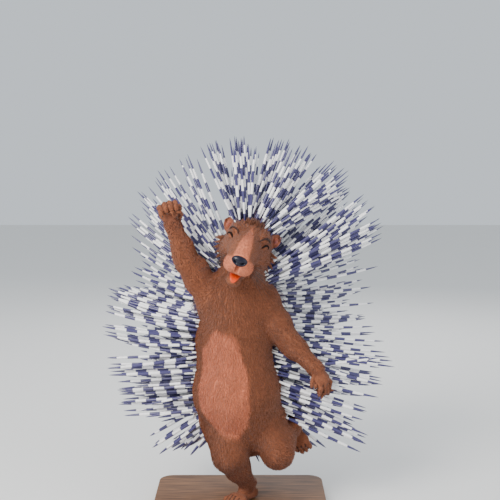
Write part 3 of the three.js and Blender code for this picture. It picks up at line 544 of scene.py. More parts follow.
def slide(mesh, rounds, most=5.0):
    for _ in range(rounds):
        points, normals = mesh_points(mesh), mesh_normals(mesh)
        table = distances(points)
        miss = flesh_distance(points, table) + nearness(table) @ DEPTHS
        points = points - normals * np.clip(miss, -most, most)[:, None]
        points[:, 2] = np.maximum(points[:, 2], SOLE_LEVEL)
        put_points(mesh, points)


FINE_PARTS = ["head", "jaw", "hand_right", "hand_left", "foot_right", "foot_left"]
FINE_WITHIN = 6
slide(skin.data, 3)
fine = bmesh.new()
fine.from_mesh(skin.data)
points = np.array([v.co for v in fine.verts]) / MM
close = np.min([part_distance(name, points) for name in FINE_PARTS], axis=0) < FINE_WITHIN
fine.verts.ensure_lookup_table()
edges = [e for e in fine.edges if close[e.verts[0].index] and close[e.verts[1].index]]
bmesh.ops.subdivide_edges(fine, edges=edges, cuts=1, use_grid_fill=True, smooth=0.3)
bmesh.ops.smooth_vert(fine, verts=fine.verts, factor=0.4, use_axis_x=True, use_axis_y=True, use_axis_z=True)
fine.to_mesh(skin.data)
fine.free()
slide(skin.data, 4)
skin.data.shade_smooth()
print("skin faces", len(skin.data.polygons), "height", round(max(v.co.z for v in skin.data.vertices), 3))

# %% [markdown]
# ## Markings
# The animal is brown, with a tan belly, tan muzzle and chin, a tan stripe from the nose to the brow, and
# a slate mantle where the quills grow. Skin and fur must agree, so one function gives the colour at
# any point, and both the skin's vertices and the fur's roots ask it.

# %% Colours of the coat
def from_screen(red, green, blue):
    """A colour picked on screen, as the light values that a shader works with."""
    return np.array([((c / 255 + 0.055) / 1.055) ** 2.4 for c in (red, green, blue)])


BROWN, TAN, SLATE = from_screen(137, 80, 53), from_screen(204, 117, 83), from_screen(74, 70, 104)
EAR_RIM, EAR_INSIDE = from_screen(140, 82, 60), from_screen(176, 98, 76)
# The crease colour is painted shade, for the gaps between the digits of the paws.
PAW_PAD, CREASE_SHADE, MOUTH = from_screen(116, 68, 50), from_screen(58, 32, 24), from_screen(74, 24, 22)
# The nostril colour is painted shade: nearly black, for the insides of the nostrils.
LIP, BROW, NOSTRIL_SHADE = from_screen(60, 32, 26), from_screen(58, 30, 22), from_screen(14, 13, 22)


def soft_step(low, high, values):
    share = np.clip((values - low) / (high - low), 0, 1)
    return share * share * (3 - 2 * share)


def paint(colours, cover, colour):
    return colours + (colour - colours) * np.clip(cover, 0, 1)[:, None]


print("brown", BROWN.round(3), "tan", TAN.round(3), "slate", SLATE.round(3))

# %% The spine and the turn about it
SPINE_HEIGHTS = [140, 205, 255, 330, 450, 545, 600, 650, 700]
SPINE_X = [14, 14, 8, -8, -14, -6, -2, 6, 14]
SPINE_Y = [30, 30, 22, 6, 8, 12, 12, 4, -8]


def spine_at(heights):
    x, y = np.interp(heights, SPINE_HEIGHTS, SPINE_X), np.interp(heights, SPINE_HEIGHTS, SPINE_Y)
    return np.stack([x, y, heights], axis=1)


def around_trunk(points):
    """Turn about the spine in degrees: 0 at the breast, positive to the animal's left, 180 at the back."""
    out = points - spine_at(points[:, 2])
    return np.degrees(np.arctan2(out[:, 0], -out[:, 1]))


# %% Uneven patches
WAVES = [(1.0, 0.7, -0.4), (-0.6, 1.1, 0.5), (0.3, -0.8, 1.2), (1.3, 0.2, 0.9)]


def mottle(points, size):
    """A smooth uneven value between about -1 and 1, with patches of about that size."""
    return sum(np.sin(points @ (np.array(w) / size) + 1.7 * k) for k, w in enumerate(WAVES)) / len(WAVES)


# %% [markdown]
# The belly patch is a rounded form in turn and height, with squarer shoulders above its middle. The
# mantle covers the back half of the trunk, the back of the head and the tail. Every edge wanders a
# little with the mottle, because no coat has a ruled edge.

# %% Colours of the trunk
BELLY_TURN, BELLY_HALF_TURN, BELLY_LEVEL, BELLY_HALF_HEIGHT = -20, 37, 352, 144
BELLY_ROUND_ABOVE, BELLY_ROUND_BELOW = 2.7, 2.0
BELLY_EDGE, BELLY_WANDER = (0.9, 1.04), 0.02
MANTLE_FROM, MANTLE_EDGE, MANTLE_TILT = 88, 12, 0.35
NECK_LEVEL, NECK_RISE, NARROWER_AT_NECK = 560, 80, 8
RUMP_EDGE, CROWN_EDGE = (150, 190), (14, 34)


def crown_line(face):
    """How far behind the line where the crown's mantle begins, which tilts with height."""
    return face[:, 1] + MANTLE_TILT * face[:, 2]


def paint_trunk(colours, points, face, share, wander):
    turn, height = around_trunk(points), points[:, 2]
    across = np.abs(turn - BELLY_TURN) / BELLY_HALF_TURN
    up = np.abs(height - BELLY_LEVEL) / BELLY_HALF_HEIGHT
    rounding = np.where(height > BELLY_LEVEL, BELLY_ROUND_ABOVE, BELLY_ROUND_BELOW)
    belly = (across**rounding + up**rounding) ** (1 / rounding) + BELLY_WANDER * wander
    colours = paint(colours, share["trunk"] * (1 - soft_step(*BELLY_EDGE, belly)), TAN)
    further = NARROWER_AT_NECK * np.clip((height - NECK_LEVEL) / NECK_RISE, 0, 1)
    mantle = soft_step(MANTLE_FROM, MANTLE_FROM + MANTLE_EDGE, np.abs(turn) + wander + further)
    colours = paint(colours, share["trunk"] * (mantle * soft_step(*RUMP_EDGE, height)), SLATE)
    colours = paint(colours, share["head"] * soft_step(*CROWN_EDGE, crown_line(face) + wander), SLATE)
    return paint(colours, share["tail"], SLATE)


# %% Colours of the face
PADS_PLACE, PADS_RADII, PADS_EDGE, PADS_WANDER = [0, -118, -24], [47, 42, 36], (0.86, 1.0), 0.01
STRIPE_START, STRIPE_LENGTH, STRIPE_HALF = -124, 98.0, 21
STRIPE_ROUND, STRIPE_LEVEL_EDGE = 0.7, (-4, 8)
CLEFT_PAINT, CLEFT_EDGE = [0.9, 1, 1.1], (0.75, 1.15)
PAINTED_GAPE, LIPS_EDGE, MOUTH_EDGE = (30, -112, 4), (7, 12), (3, 8)
NOSE_PLACE, UNDER_NOSE, NOSE_EDGE = [0, -127, 0], [17, 12, 11], (0.9, 1.1)


def part_gap(name, table):
    return table[:, NAMES.index(name)]


def in_gape(face, half_width, front, back):
    return (np.abs(face[:, 0]) < half_width) & (face[:, 1] > front) & (face[:, 1] < back)


def paint_face(colours, face, head, table, wander):
    pads = np.linalg.norm((face - PADS_PLACE) / PADS_RADII, axis=1)
    colours = paint(colours, head * (1 - soft_step(*PADS_EDGE, pads + PADS_WANDER * wander)), TAN)
    along = np.clip((face[:, 1] - STRIPE_START) / STRIPE_LENGTH, 0, 1)
    half = STRIPE_HALF * (1 - along) ** STRIPE_ROUND - 1
    within = 1 - soft_step(half - 3, half + 2, np.abs(face[:, 0]))
    colours = paint(colours, head * (within * soft_step(*STRIPE_LEVEL_EDGE, face[:, 2])), TAN)
    cleft = np.linalg.norm((face - CLEFT["place"]) / (np.array(CLEFT["radii"]) * CLEFT_PAINT), axis=1)
    colours = paint(colours, head * (1 - soft_step(*CLEFT_EDGE, cleft)), LIP)
    gape = in_gape(face, *PAINTED_GAPE)
    lips = np.maximum(part_gap("head", table), part_gap("jaw", table))
    colours = paint(colours, gape * (1 - soft_step(*LIPS_EDGE, lips)) * head, LIP)
    colours = paint(colours, gape * (1 - soft_step(*MOUTH_EDGE, lips)) * head, MOUTH)
    # Painted shade for the nostrils: the skin under the nose pad is nearly black where it shows through the
    # nostrils' dents.
    under_nose = np.linalg.norm((face - NOSE_PLACE) / UNDER_NOSE, axis=1)
    return paint(colours, head * (1 - soft_step(*NOSE_EDGE, under_nose)), NOSTRIL_SHADE)


# %% Colours of the ears
RIM_EDGE, HOLLOW_PAINT, HOLLOW_EDGE = (0, 7), 1.02, (0.97, 1.06)


def paint_ears(colours, points):
    for side in (-1, 1):
        rim = 1 - soft_step(*RIM_EDGE, ear_distance(side, points))
        colours = paint(colours, rim, EAR_RIM)
        cup = into(CUP_FRAMES[side], points)
        hollow = np.linalg.norm(cup / (np.array(EAR["hollow"]) * HOLLOW_PAINT), axis=1)
        colours = paint(colours, rim * (1 - soft_step(*HOLLOW_EDGE, hollow)), EAR_INSIDE)
    return colours


# %% [markdown]
# Fur hides the gaps between short, thick digits, so a fist would look like a ball. A thin line of
# painted shade where two digits are equally near keeps them apart, as a real shadow does on a paw.

# %% Colours of the paws
CREASE_SHADE_FROM = {"hand_right": 36, "hand_left": 42, "foot_right": 68, "foot_left": 68}
CREASE_SHADE_DEPTH, CREASE_SHADE_EDGE = 6.5, (0.6, 3.0)
PAD_EDGE = (-5, -14)
FIST_PALM_END, OPEN_PALM_END = 30, 120


def shade_between_digits(name, local):
    """How much painted shade falls in the crease between two digits: 1 where both are equally near."""
    paw, gaps = PAWS[name], []
    for digit in with_thumb(paw):
        bones = bones_through(digit, paw["radius"])
        gaps.append(np.min([bone_distance(local, *sizes) for _, *sizes in bones], axis=0))
    nearest, second = np.sort(gaps, axis=0)[:2]
    crease_shade = (1 - soft_step(*CREASE_SHADE_EDGE, second - nearest)) * (second < CREASE_SHADE_DEPTH)
    return crease_shade * (local[:, 2] > CREASE_SHADE_FROM[name])


def paint_paws(colours, points, share):
    for name in PAWS:
        local = into(PARTS[name]["frame"], points)
        palm = local[:, 2] < (FIST_PALM_END if name == "hand_right" else OPEN_PALM_END)
        colours = paint(colours, share[name] * soft_step(*PAD_EDGE, local[:, 1]) * palm, PAW_PAD)
        near = share[name] > 0.2
        crease_shade = np.zeros(len(points))
        crease_shade[near] = shade_between_digits(name, local[near])
        # Painted shade darkens the creases between the digits.
        colours = paint(colours, share[name] * crease_shade, CREASE_SHADE)
    return colours


# %% Colour at any point of the animal
COLOUR_REACH, EDGE_WANDER, WANDER_SIZE, MOTTLE, MOTTLE_SIZE = 5.0, 5, 14, 0.07, 9


def coat_colour(points, table):
    share = dict(zip(NAMES, nearness(table, COLOUR_REACH).T))
    face, wander = into(HEAD_FRAME, points), EDGE_WANDER * mottle(points, WANDER_SIZE)
    colours = paint_trunk(np.tile(BROWN, (len(points), 1)), points, face, share, wander)
    colours = paint_face(colours, face, share["head"] + share["jaw"], table, wander)
    colours = paint_paws(paint_ears(colours, points), points, share)
    return colours * (1 + MOTTLE * mottle(points, MOTTLE_SIZE))[:, None]


def add_colours(mesh, name, colours):
    layer = mesh.color_attributes.new(name, "FLOAT_COLOR", "POINT")
    rgba = np.ones((len(colours), 4), np.float32)
    rgba[:, :3] = np.clip(colours, 0, 1)
    layer.data.foreach_set("color", rgba.ravel())


skin_points = mesh_points(skin.data)
skin_table = distances(skin_points)
add_colours(skin.data, "coat", coat_colour(skin_points, skin_table))
print("skin painted at", len(skin_points), "points")

# %% [markdown]
# ## One material for skin and fur
# Hair has no gloss of its own at this distance, but a soft edge light, which is what sheen gives. The
# painted colour comes from the mesh, and fine noise in the object's own space breaks it up hair by hair.

# %% A material, its levels and its noise
def new_material(name):
    material = bpy.data.materials.new(name)
    material.use_nodes = True
    tree = material.node_tree
    return material, tree.nodes, tree.links, tree.nodes["Principled BSDF"]


def set_levels(shader, levels):
    for socket, level in levels.items():
        shader.inputs[socket].default_value = level


def noise_at(nodes, links, scale, detail=3.0, stretch=(1, 1, 1)):
    place = nodes.new("ShaderNodeTexCoord")
    fit = nodes.new("ShaderNodeMapping")
    fit.inputs["Scale"].default_value = stretch
    texture = nodes.new("ShaderNodeTexNoise")
    texture.inputs["Scale"].default_value = scale
    texture.inputs["Detail"].default_value = detail
    links.new(place.outputs["Object"], fit.inputs["Vector"])
    links.new(fit.outputs["Vector"], texture.inputs["Vector"])
    return texture


# %% Uneven colour and a rough surface
def vary(nodes, links, colour, texture, low, high):
    """The colour, made darker and lighter between low and high by a texture."""
    spread = nodes.new("ShaderNodeMapRange")
    set_levels(spread, {"From Min": 0.3, "From Max": 0.7, "To Min": low, "To Max": high})
    links.new(texture.outputs["Fac"], spread.inputs["Value"])
    scaled = nodes.new("ShaderNodeVectorMath")
    scaled.operation = "SCALE"
    links.new(colour, scaled.inputs[0])
    links.new(spread.outputs["Result"], scaled.inputs["Scale"])
    return scaled.outputs["Vector"]


def bumped(nodes, links, shader, texture, strength, depth):
    bump = nodes.new("ShaderNodeBump")
    bump.inputs["Strength"].default_value = strength
    bump.inputs["Distance"].default_value = depth
    links.new(texture.outputs["Fac"], bump.inputs["Height"])
    links.new(bump.outputs["Normal"], shader.inputs["Normal"])


def speckled(name, colour, spread, scale, detail=3.0, stretch=(1, 1, 1)):
    """A material of one colour, made darker and lighter by noise in the object's own space."""
    material, nodes, links, shader = new_material(name)
    base = nodes.new("ShaderNodeRGB")
    base.outputs[0].default_value = (*colour, 1)
    grain = noise_at(nodes, links, scale, detail, stretch)
    links.new(vary(nodes, links, base.outputs[0], grain, *spread), shader.inputs["Base Color"])
    return material, nodes, links, shader, grain


# %% Material of the coat
SHEEN = {"Sheen Weight": 0.1, "Sheen Roughness": 0.5}


def coat_material(name, bump):
    material, nodes, links, shader = new_material(name)
    painted = nodes.new("ShaderNodeAttribute")
    painted.attribute_name = "coat"
    hairs = noise_at(nodes, links, 900, 2, (1, 1, 0.3))
    links.new(vary(nodes, links, painted.outputs["Color"], hairs, 0.72, 1.25), shader.inputs["Base Color"])
    set_levels(shader, {"Roughness": 0.78, "Specular IOR Level": 0.25, **SHEEN})
    if bump:
        bumped(nodes, links, shader, hairs, 0.5, 0.0015)
    return material


skin_finish = coat_material("short hair on skin", True)
fur_finish = coat_material("fur", False)
skin.data.materials.append(skin_finish)
print("coat materials", skin_finish.name, "and", fur_finish.name)

# %% [markdown]
# ## Many small things from arrays
# A coat has tens of thousands of tufts, and each is only a bent spike with three sides. Numpy works
# out all their points at once and one mesh takes them. Each tuft also gets a small patch on an unwrap
# of the body, at the place of its root, so that its colours can be baked.

# %% Unwrap of the body's parts
CELLS = {"trunk": (0.01, 0.01, 0.42, 0.98), "head": (0.45, 0.51, 0.26, 0.48)}
for i, name in enumerate(n for n in NAMES if n not in CELLS):
    CELLS[name] = (0.45 + 0.135 * (i % 4), 0.01 + 0.165 * (i // 4), 0.125, 0.155)
CELLS["ears"] = (0.73, 0.6, 0.2, 0.3)


def unwrap(points, owner):
    """A place on a flat sheet for each point: round each part's own axis, and along it."""
    owner, place = np.broadcast_to(owner, len(points)), np.zeros((len(points), 2))
    for index, name in enumerate(NAMES):
        chosen = owner == index
        if not chosen.any():
            continue
        local = into(PARTS[name]["frame"], points[chosen])
        start, end = (np.array(p, float) for p in PARTS[name]["axis"])
        along = (end - start) / np.linalg.norm(end - start)
        across = unit(np.cross(along, [[0.31, 0.94, 0.12]]))[0]
        out = local - start
        share = np.clip(out @ along / np.linalg.norm(end - start) * 0.8 + 0.1, 0, 1)
        turn = np.arctan2(out @ np.cross(along, across), out @ across) / (2 * np.pi) + 0.5
        left, low, wide, high = CELLS[name]
        place[chosen] = np.stack([left + wide * turn, low + high * share], axis=1)
    return place


# %% A mesh from arrays
def array_mesh(name, points, faces, places, colours, finish):
    """points (n, 3) in millimetres; faces a list of index arrays, one per number of corners."""
    mesh = bpy.data.meshes.new(name)
    mesh.vertices.add(len(points))
    mesh.vertices.foreach_set("co", (points * MM).astype(np.float32).ravel())
    corners = np.concatenate([f.ravel() for f in faces]).astype(np.int32)
    sizes = np.concatenate([np.full(len(f), f.shape[1]) for f in faces])
    mesh.loops.add(len(corners))
    mesh.loops.foreach_set("vertex_index", corners)
    mesh.polygons.add(len(sizes))
    mesh.polygons.foreach_set("loop_start", np.concatenate([[0], np.cumsum(sizes)[:-1]]).astype(np.int32))
    mesh.polygons.foreach_set("use_smooth", np.full(len(sizes), True))
    mesh.update(calc_edges=True)
    sheet = mesh.uv_layers.new(name="OFBake")
    sheet.uv.foreach_set("vector", places[corners].astype(np.float32).ravel())
    add_colours(mesh, "coat", colours)
    mesh.materials.append(finish)
    piece = put_in_scene(name, mesh)
    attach(piece, "root")


# %% Tapered spikes
def spikes(stations, widths, flatness, across, over, sides, places, patch):
    """Spikes through stations (n, s, 3), of which the last is the point, with a ring at each other one."""
    count, steps = stations.shape[:2]
    turns = 2 * np.pi * np.arange(sides) / sides
    ring = (
        np.cos(turns)[None, None, :, None] * across[:, None, None, :]
        + np.sin(turns)[None, None, :, None] * over[:, None, None, :] * flatness
    )
    rings = stations[:, :-1, None, :] + ring * widths[:, :, None, None]
    points = np.concatenate([rings.reshape(count, -1, 3), stations[:, -1:, :]], axis=1)
    size = points.shape[1]
    quads = []
    for step in range(steps - 2):
        for j in range(sides):
            a, b = step * sides + j, step * sides + (j + 1) % sides
            quads.append([a, b, b + sides, a + sides])
    last = (steps - 2) * sides
    tips = [[last + j, last + (j + 1) % sides, size - 1] for j in range(sides)]
    starts = (np.arange(count) * size)[:, None, None]
    root_cap = [list(range(sides))[::-1]]
    faces = [(starts + np.array(f)[None]).reshape(-1, len(f[0])) for f in (quads, tips, root_cap)]
    share = np.repeat(np.arange(steps - 1) / (steps - 1), sides)
    spread = np.stack([np.tile(np.cos(turns), steps - 1) * 0.5, share - 0.5], axis=1)
    spread = np.concatenate([spread, [[0, 0.5]]]) * np.array(patch)
    sheet = (places[:, None, :] + spread[None]).reshape(-1, 2)
    return points.reshape(-1, 3), faces, sheet, size


# %% [markdown]
# ## Where fur grows
# Every face of the skin can carry a tuft. None grows in the mouth, on the nose, in the cup of an ear
# or on a palm or sole. Face and paws have the shortest hair, the cheeks and the brow the longest,
# and bristles stand up between the quills.

# %% Roots on the skin
def face_values(mesh):
    count = len(mesh.polygons)
    centres, normals = np.empty(count * 3, np.float32), np.empty(count * 3, np.float32)
    areas = np.empty(count, np.float32)
    mesh.polygons.foreach_get("center", centres)
    mesh.polygons.foreach_get("normal", normals)
    mesh.polygons.foreach_get("area", areas)
    return centres.reshape(-1, 3).astype(float) / MM, normals.reshape(-1, 3).astype(float), areas / MM**2


ROOT_JITTER = 0.34


def scatter(centres, normals, areas, spacing):
    """About one root for each square of that spacing, moved a little at random."""
    wanted = areas / spacing**2
    copies = np.floor(wanted + draw.random(len(wanted))).astype(int)
    index = np.repeat(np.arange(len(wanted)), copies)
    shift = draw.normal(size=(len(index), 3)) * np.sqrt(areas[index])[:, None] * ROOT_JITTER
    shift -= normals[index] * (shift * normals[index]).sum(axis=1, keepdims=True)
    return centres[index] + shift, normals[index], index


# %% Where a ray leaves a part
FURTHEST_OUT, HALVINGS = 190.0, 22


def meet(parts, starts, ways, level):
    """Where rays that start inside some parts leave them all, at a level against their surface."""
    near, far = np.zeros(len(starts)), np.full(len(starts), FURTHEST_OUT)
    for _ in range(HALVINGS):
        middle = (near + far) / 2
        points = starts + ways * middle[:, None]
        inside = np.min([part_distance(name, points) for name in parts], axis=0) < level
        near, far = np.where(inside, middle, near), np.where(inside, far, middle)
    return starts + ways * near[:, None]


def meet_through(parts, start, goals, level):
    """Where rays from one inner point through each goal leave some parts."""
    return meet(parts, np.repeat(start, len(goals), axis=0), unit(goals - start), level)


def part_slope(name, points):
    shifts = np.eye(3) * 0.5
    rises = [part_distance(name, points + s) - part_distance(name, points - s) for s in shifts]
    return unit(np.stack(rises, axis=1))


# %% Bald places and the mantle
BALD_GAPE, BALD_LIPS = (33, -116, 4), 9
BALD_NOSE_PLACE, BALD_NOSE = [0, -130, 1], [21, 14, 15]
BALD_PALM_END, PALM_SIDE = 92, -9
BRISTLES_FROM_TURN, BRISTLES_FROM_HEIGHT, BRISTLES_BEHIND = MANTLE_FROM + 4, 175, 26
centres, normals, areas = face_values(skin.data)
table = distances(centres)
owner = table.argmin(axis=1)
face = into(HEAD_FRAME, centres)
turn = around_trunk(centres)


def owned_by(*names):
    return np.isin(owner, [NAMES.index(name) for name in names])


on_head, on_paw = owned_by("head", "jaw"), owned_by(*PAWS)
in_mouth = on_head & (np.maximum(part_gap("head", table), part_gap("jaw", table)) < BALD_LIPS)
in_mouth &= in_gape(face, *BALD_GAPE)
on_nose = on_head & (np.linalg.norm((face - BALD_NOSE_PLACE) / BALD_NOSE, axis=1) < 1)
on_ear = np.min([ear_distance(s, centres) for s in (-1, 1)], axis=0) < 1.0
on_lid = np.min([lid_distance(s, centres) for s in (-1, 1)], axis=0) < 0.5
palm = np.zeros(len(centres), bool)
for name in PAWS:
    local = into(PARTS[name]["frame"], centres)
    palm_end = FIST_PALM_END if name == "hand_right" else BALD_PALM_END
    palm |= owned_by(name) & (local[:, 1] < PALM_SIDE) & (local[:, 2] < palm_end)
on_mantle = owned_by("trunk") & (np.abs(turn) > BRISTLES_FROM_TURN)
on_mantle &= centres[:, 2] > BRISTLES_FROM_HEIGHT
on_mantle |= owned_by("head") & (crown_line(face) > BRISTLES_BEHIND)
on_mantle |= owned_by("tail")
bald = in_mouth | on_nose | palm | (centres[:, 2] < SOLE_LEVEL + 1)
print("faces with no fur", int(bald.sum()), "on the mantle", int(on_mantle.sum()))

# %% Length and lift of the hair
TRUNK_HAIR, LIMB_HAIR, HEAD_HAIR, PAW_HAIR, EAR_HAIR = 12.5, 10.5, 9, 4.2, 3.2
MUZZLE_LOSS, MUZZLE_EDGE = 4.8, (-60, -110)
CHEEK_GAIN, CHEEK_PLACE, CHEEK_REACH = 6, [52, 4, -26], [18, 26, 20]
FOREHEAD_GAIN, FOREHEAD_PLACE, FOREHEAD_REACH = 4, [0, -6, 62], [20, 20, 18]
FINE_LIFT, COARSE_LIFT, CHEEK_LIFT, FOREHEAD_LIFT = 0.24, 0.3, 0.5, 0.4
CHEEK_FLARE = 1.6


def bell(points, place, reach):
    """1 at a place in the head's frame, and fading to nothing around it."""
    x, y, z = ((points - place) / reach).T
    return np.exp(-(x**2) - y**2 - z**2)


hair = np.full(len(centres), TRUNK_HAIR)
hair[owned_by("arm_right", "arm_left", "shin_right", "shin_left")] = LIMB_HAIR
hair[on_head] = HEAD_HAIR - MUZZLE_LOSS * soft_step(*MUZZLE_EDGE, face[on_head, 1])
hair[on_paw] = PAW_HAIR
hair[on_ear | on_lid] = EAR_HAIR
one_side = np.stack([np.abs(face[:, 0]), face[:, 1], face[:, 2]], axis=1)
cheek = on_head * bell(one_side, CHEEK_PLACE, CHEEK_REACH)
forehead = on_head * bell(face, FOREHEAD_PLACE, FOREHEAD_REACH)
hair = hair + CHEEK_GAIN * cheek * ~on_ear + FOREHEAD_GAIN * forehead
lift = np.where(on_head | on_paw, FINE_LIFT, COARSE_LIFT) + CHEEK_LIFT * cheek + FOREHEAD_LIFT * forehead
outwards = unit(np.sign(face[:, :1]) * [0.75, 0, 0] + [0, 0.35, -0.75])
lie = unit(nearness(table) @ LIES)
lie = unit(lie + (outwards @ HEAD_FRAME[:3, :3].T) * (CHEEK_FLARE * cheek)[:, None])
print("hair from", round(float(hair[~bald].min()), 1), "to", round(float(hair.max()), 1), "mm")


# %% Gather tips into locks
def gather(roots, tips, in_lock, pull):
    """Draws each tip towards the tip of a leader near its root, as damp or coarse hair gathers."""
    leaders = draw.choice(len(roots), max(1, round(len(roots) / in_lock)), replace=False)
    tree = KDTree(len(leaders))
    for place, leader in enumerate(leaders):
        tree.insert(roots[leader], place)
    tree.balance()
    nearest = leaders[[tree.find(root)[1] for root in roots]]
    return tips + (tips[nearest] - tips) * pull, nearest


# %% Grow tufts of fur
TUFT_PATCH = (0.003, 0.003)
TUFT_FLATNESS, ROOT_TONE, TIP_TONE = 0.45, 0.74, 1.14
TUFT_BEND, TUFT_SUNK, WIND = 0.16, 0.8, 0.16


def report(name, count, faces, what):
    print(name, count, what, "with", sum(len(f) * (f.shape[1] - 2) for f in faces), "triangles")


def lay_tufts(name, roots, out, tips, width, rise, colours, owners):
    """Bent spikes of three sides from roots to tips, darker at the root and lighter at the tip."""
    count = len(roots)
    way = tips - roots
    flat = unit(way - out * (way * out).sum(axis=1, keepdims=True))
    middle = (roots + tips) / 2 + out * (np.linalg.norm(way, axis=1) * TUFT_BEND * rise)[:, None]
    stations = np.stack([roots - out * TUFT_SUNK, middle, tips], axis=1)
    widths = np.array([1.0, 0.8]) * width * draw.uniform(0.8, 1.25, (count, 1))
    across, places = unit(np.cross(flat, out)), unwrap(roots, owners)
    points, faces, sheet, size = spikes(stations, widths, TUFT_FLATNESS, across, out, 3, places, TUFT_PATCH)
    tone = np.repeat(colours, size, axis=0).reshape(count, size, 3)
    tone[:, :3] *= ROOT_TONE
    tone[:, -1] *= TIP_TONE
    array_mesh(name, points, faces, sheet, tone.reshape(-1, 3), fur_finish)
    report(name, count, faces, "tufts")


def grow_fur(name, chosen, spacing, width, stiff=0.0, longer=1.0, in_lock=6, pull=0.4):
    """Tufts on the chosen faces, leaning as the coat lies there and gathered into small locks."""
    roots, out, index = scatter(centres[chosen], normals[chosen], areas[chosen], spacing)
    index = np.flatnonzero(chosen)[index]
    wind = lie[index] + draw.normal(size=roots.shape) * WIND
    flat = unit(wind - out * (wind * out).sum(axis=1, keepdims=True))
    rise = lift[index] + stiff
    long = hair[index] * longer * draw.uniform(0.75, 1.2, len(roots))
    tips = roots + (flat * np.cos(rise)[:, None] + out * np.sin(rise)[:, None]) * long[:, None]
    tips, leader = gather(roots, tips, in_lock, pull)
    shade = draw.uniform(0.84, 1.14, len(roots)) * draw.uniform(0.9, 1.08, len(roots))[leader]
    colours = coat_colour(roots, distances(roots)) * shade[:, None]
    lay_tufts(name, roots, out, tips, width, rise, colours, owner[index])


# %% The sets of fur
MUZZLE_FROM = -70
front, on_muzzle = ~bald & ~on_mantle, face[:, 1] <= MUZZLE_FROM
plain, on_trunk = front & ~on_head & ~on_paw & ~on_ear, owned_by("trunk")
grow_fur("fur_head", front & on_head & ~on_ear & ~on_lid & ~on_muzzle, 2.5, 1.1)
grow_fur("fur_muzzle", front & on_head & ~on_lid & on_muzzle, 2.1, 0.8)
grow_fur("fur_ears_and_lids", front & (on_ear | on_lid), 2.0, 0.6)
grow_fur("fur_paws", front & on_paw, 2.4, 0.8)
grow_fur("fur_trunk", plain & on_trunk, 3.4, 1.25, in_lock=5, pull=0.3)
grow_fur("fur_limbs", plain & ~on_trunk, 3.0, 1.05, in_lock=5, pull=0.3)
mantle = on_mantle & ~bald & ~on_ear
grow_fur("bristles_mantle", mantle, 4.6, 1.2, stiff=0.35, longer=2.6)

# %% [markdown]
# ## Locks on the cheeks and the brow
# Longer hair breaks the outline of the cheeks into ragged points and stands up in short strokes on the
# brow. Each lock is a bundle of the same tufts with roots on a small disc and one shared tip.

# %% Cheek and brow locks
CHEEK_LOCKS, FOREHEAD_LOCKS = 6, 5
TUFTS_IN_LOCK, LOCK_RADIUS, LOCK_DEPTH = 46, 7.5, -2.5
HEAD_CORE = np.array([[0.0, 4, -8]])
ON_HEAD = NAMES.index("head")


def cheek_lock(side, k):
    """Where a lock starts in the head's frame, which way it points and how long it is."""
    down = k / (CHEEK_LOCKS - 1)
    start = (side * (62 - 16 * down), 6 - 8 * down, -8 - 46 * down)
    return start, (side * (0.95 - 0.55 * down), 0.05, -0.3 - 0.7 * down), 27 - 3 * (k % 2)


def forehead_lock(k):
    return (-16 + 8 * k, -14 - 3 * (k % 2), 62), (-0.3 + 0.15 * k, 0.35, 1.0), 17


locks = [cheek_lock(side, k) for side in (-1, 1) for k in range(CHEEK_LOCKS)]
locks += [forehead_lock(k) for k in range(FOREHEAD_LOCKS)]
lock_starts, lock_ways, lock_lengths = (np.array(column, float) for column in zip(*locks))
core = out_of(HEAD_FRAME, HEAD_CORE)
lock_roots = meet_through(("head", "jaw"), core, out_of(HEAD_FRAME, lock_starts), LOCK_DEPTH)
lock_tips = lock_roots + unit(lock_ways) @ HEAD_FRAME[:3, :3].T * lock_lengths[:, None]
which = np.repeat(np.arange(len(locks)), TUFTS_IN_LOCK)
shift = draw.normal(size=(len(which), 3)) * LOCK_RADIUS * 0.5
outward = unit(lock_roots - core)[which]
shift -= outward * (shift * outward).sum(axis=1, keepdims=True)
roots = meet_through(("head", "jaw"), core, lock_roots[which] + shift, LOCK_DEPTH)
tips = lock_tips[which] + draw.normal(size=(len(which), 3)) * 1.3
tips = roots + (tips - roots) * draw.uniform(0.8, 1.05, (len(which), 1))
shade = coat_colour(roots, distances(roots)) * draw.uniform(0.8, 1.12, (len(which), 1))
shade[which >= len(locks) - FOREHEAD_LOCKS] *= 0.5
lay_tufts("fur_locks", roots, outward, tips, 1.3, 0.5, shade, ON_HEAD)

# %% [markdown]
# ## Brows
# A short arc of dark hairs bows over each closed eye. The hairs lie along the arc and overlap, as laid
# strokes do, which keeps the line crisp where a painted one would blur in the fur.

# %% Brow hairs
BROW_HAIRS, BROW_RADIUS, BROW_HALF, BROW_LENGTH = 110, 27.0, 46, 9.0
BROW_INWARDS, BROW_LIFT, BROW_LEVEL = 11, -3, 1.2
brow_roots, brow_ways = [], []
for side in (-1, 1):
    for share in draw.random(BROW_HAIRS):
        angle = math.radians(BROW_HALF * (2 * share - 1))
        reach = BROW_RADIUS + draw.normal() * 1.1
        x, z = reach * math.sin(angle) - side * BROW_INWARDS, reach * math.cos(angle) + BROW_LIFT
        brow_roots.append(LID_FRAMES[side] @ [x, -10, z, 1])
        brow_ways.append(LID_FRAMES[side][:3, :3] @ [side * math.cos(angle), 0, -side * math.sin(angle)])
roots = meet_through(("head",), core, np.array(brow_roots)[:, :3], BROW_LEVEL)
outward = part_slope("head", roots)
ways = unit(np.array(brow_ways) + 0.12 * outward)
tips = roots + ways * (BROW_LENGTH * draw.uniform(0.7, 1.1, (len(roots), 1)))
tips -= outward * ((tips - roots) * outward).sum(axis=1, keepdims=True) * 0.6
shade = BROW * draw.uniform(0.8, 1.2, (len(roots), 1))
lay_tufts("brow_hairs", roots, outward, tips, 1.0, 0.4, shade, ON_HEAD)

# %% [markdown]
# ## Quills
# A quill is a hollow spindle of horn: thin where it leaves the skin, thickest in the middle, and drawn
# out to a point, with bands of slate and white. Raised quills spread like a fan. Each one here starts
# on the flesh, points away from the spine, and ends on one large egg round the whole animal, which
# gives the fan its even outline.

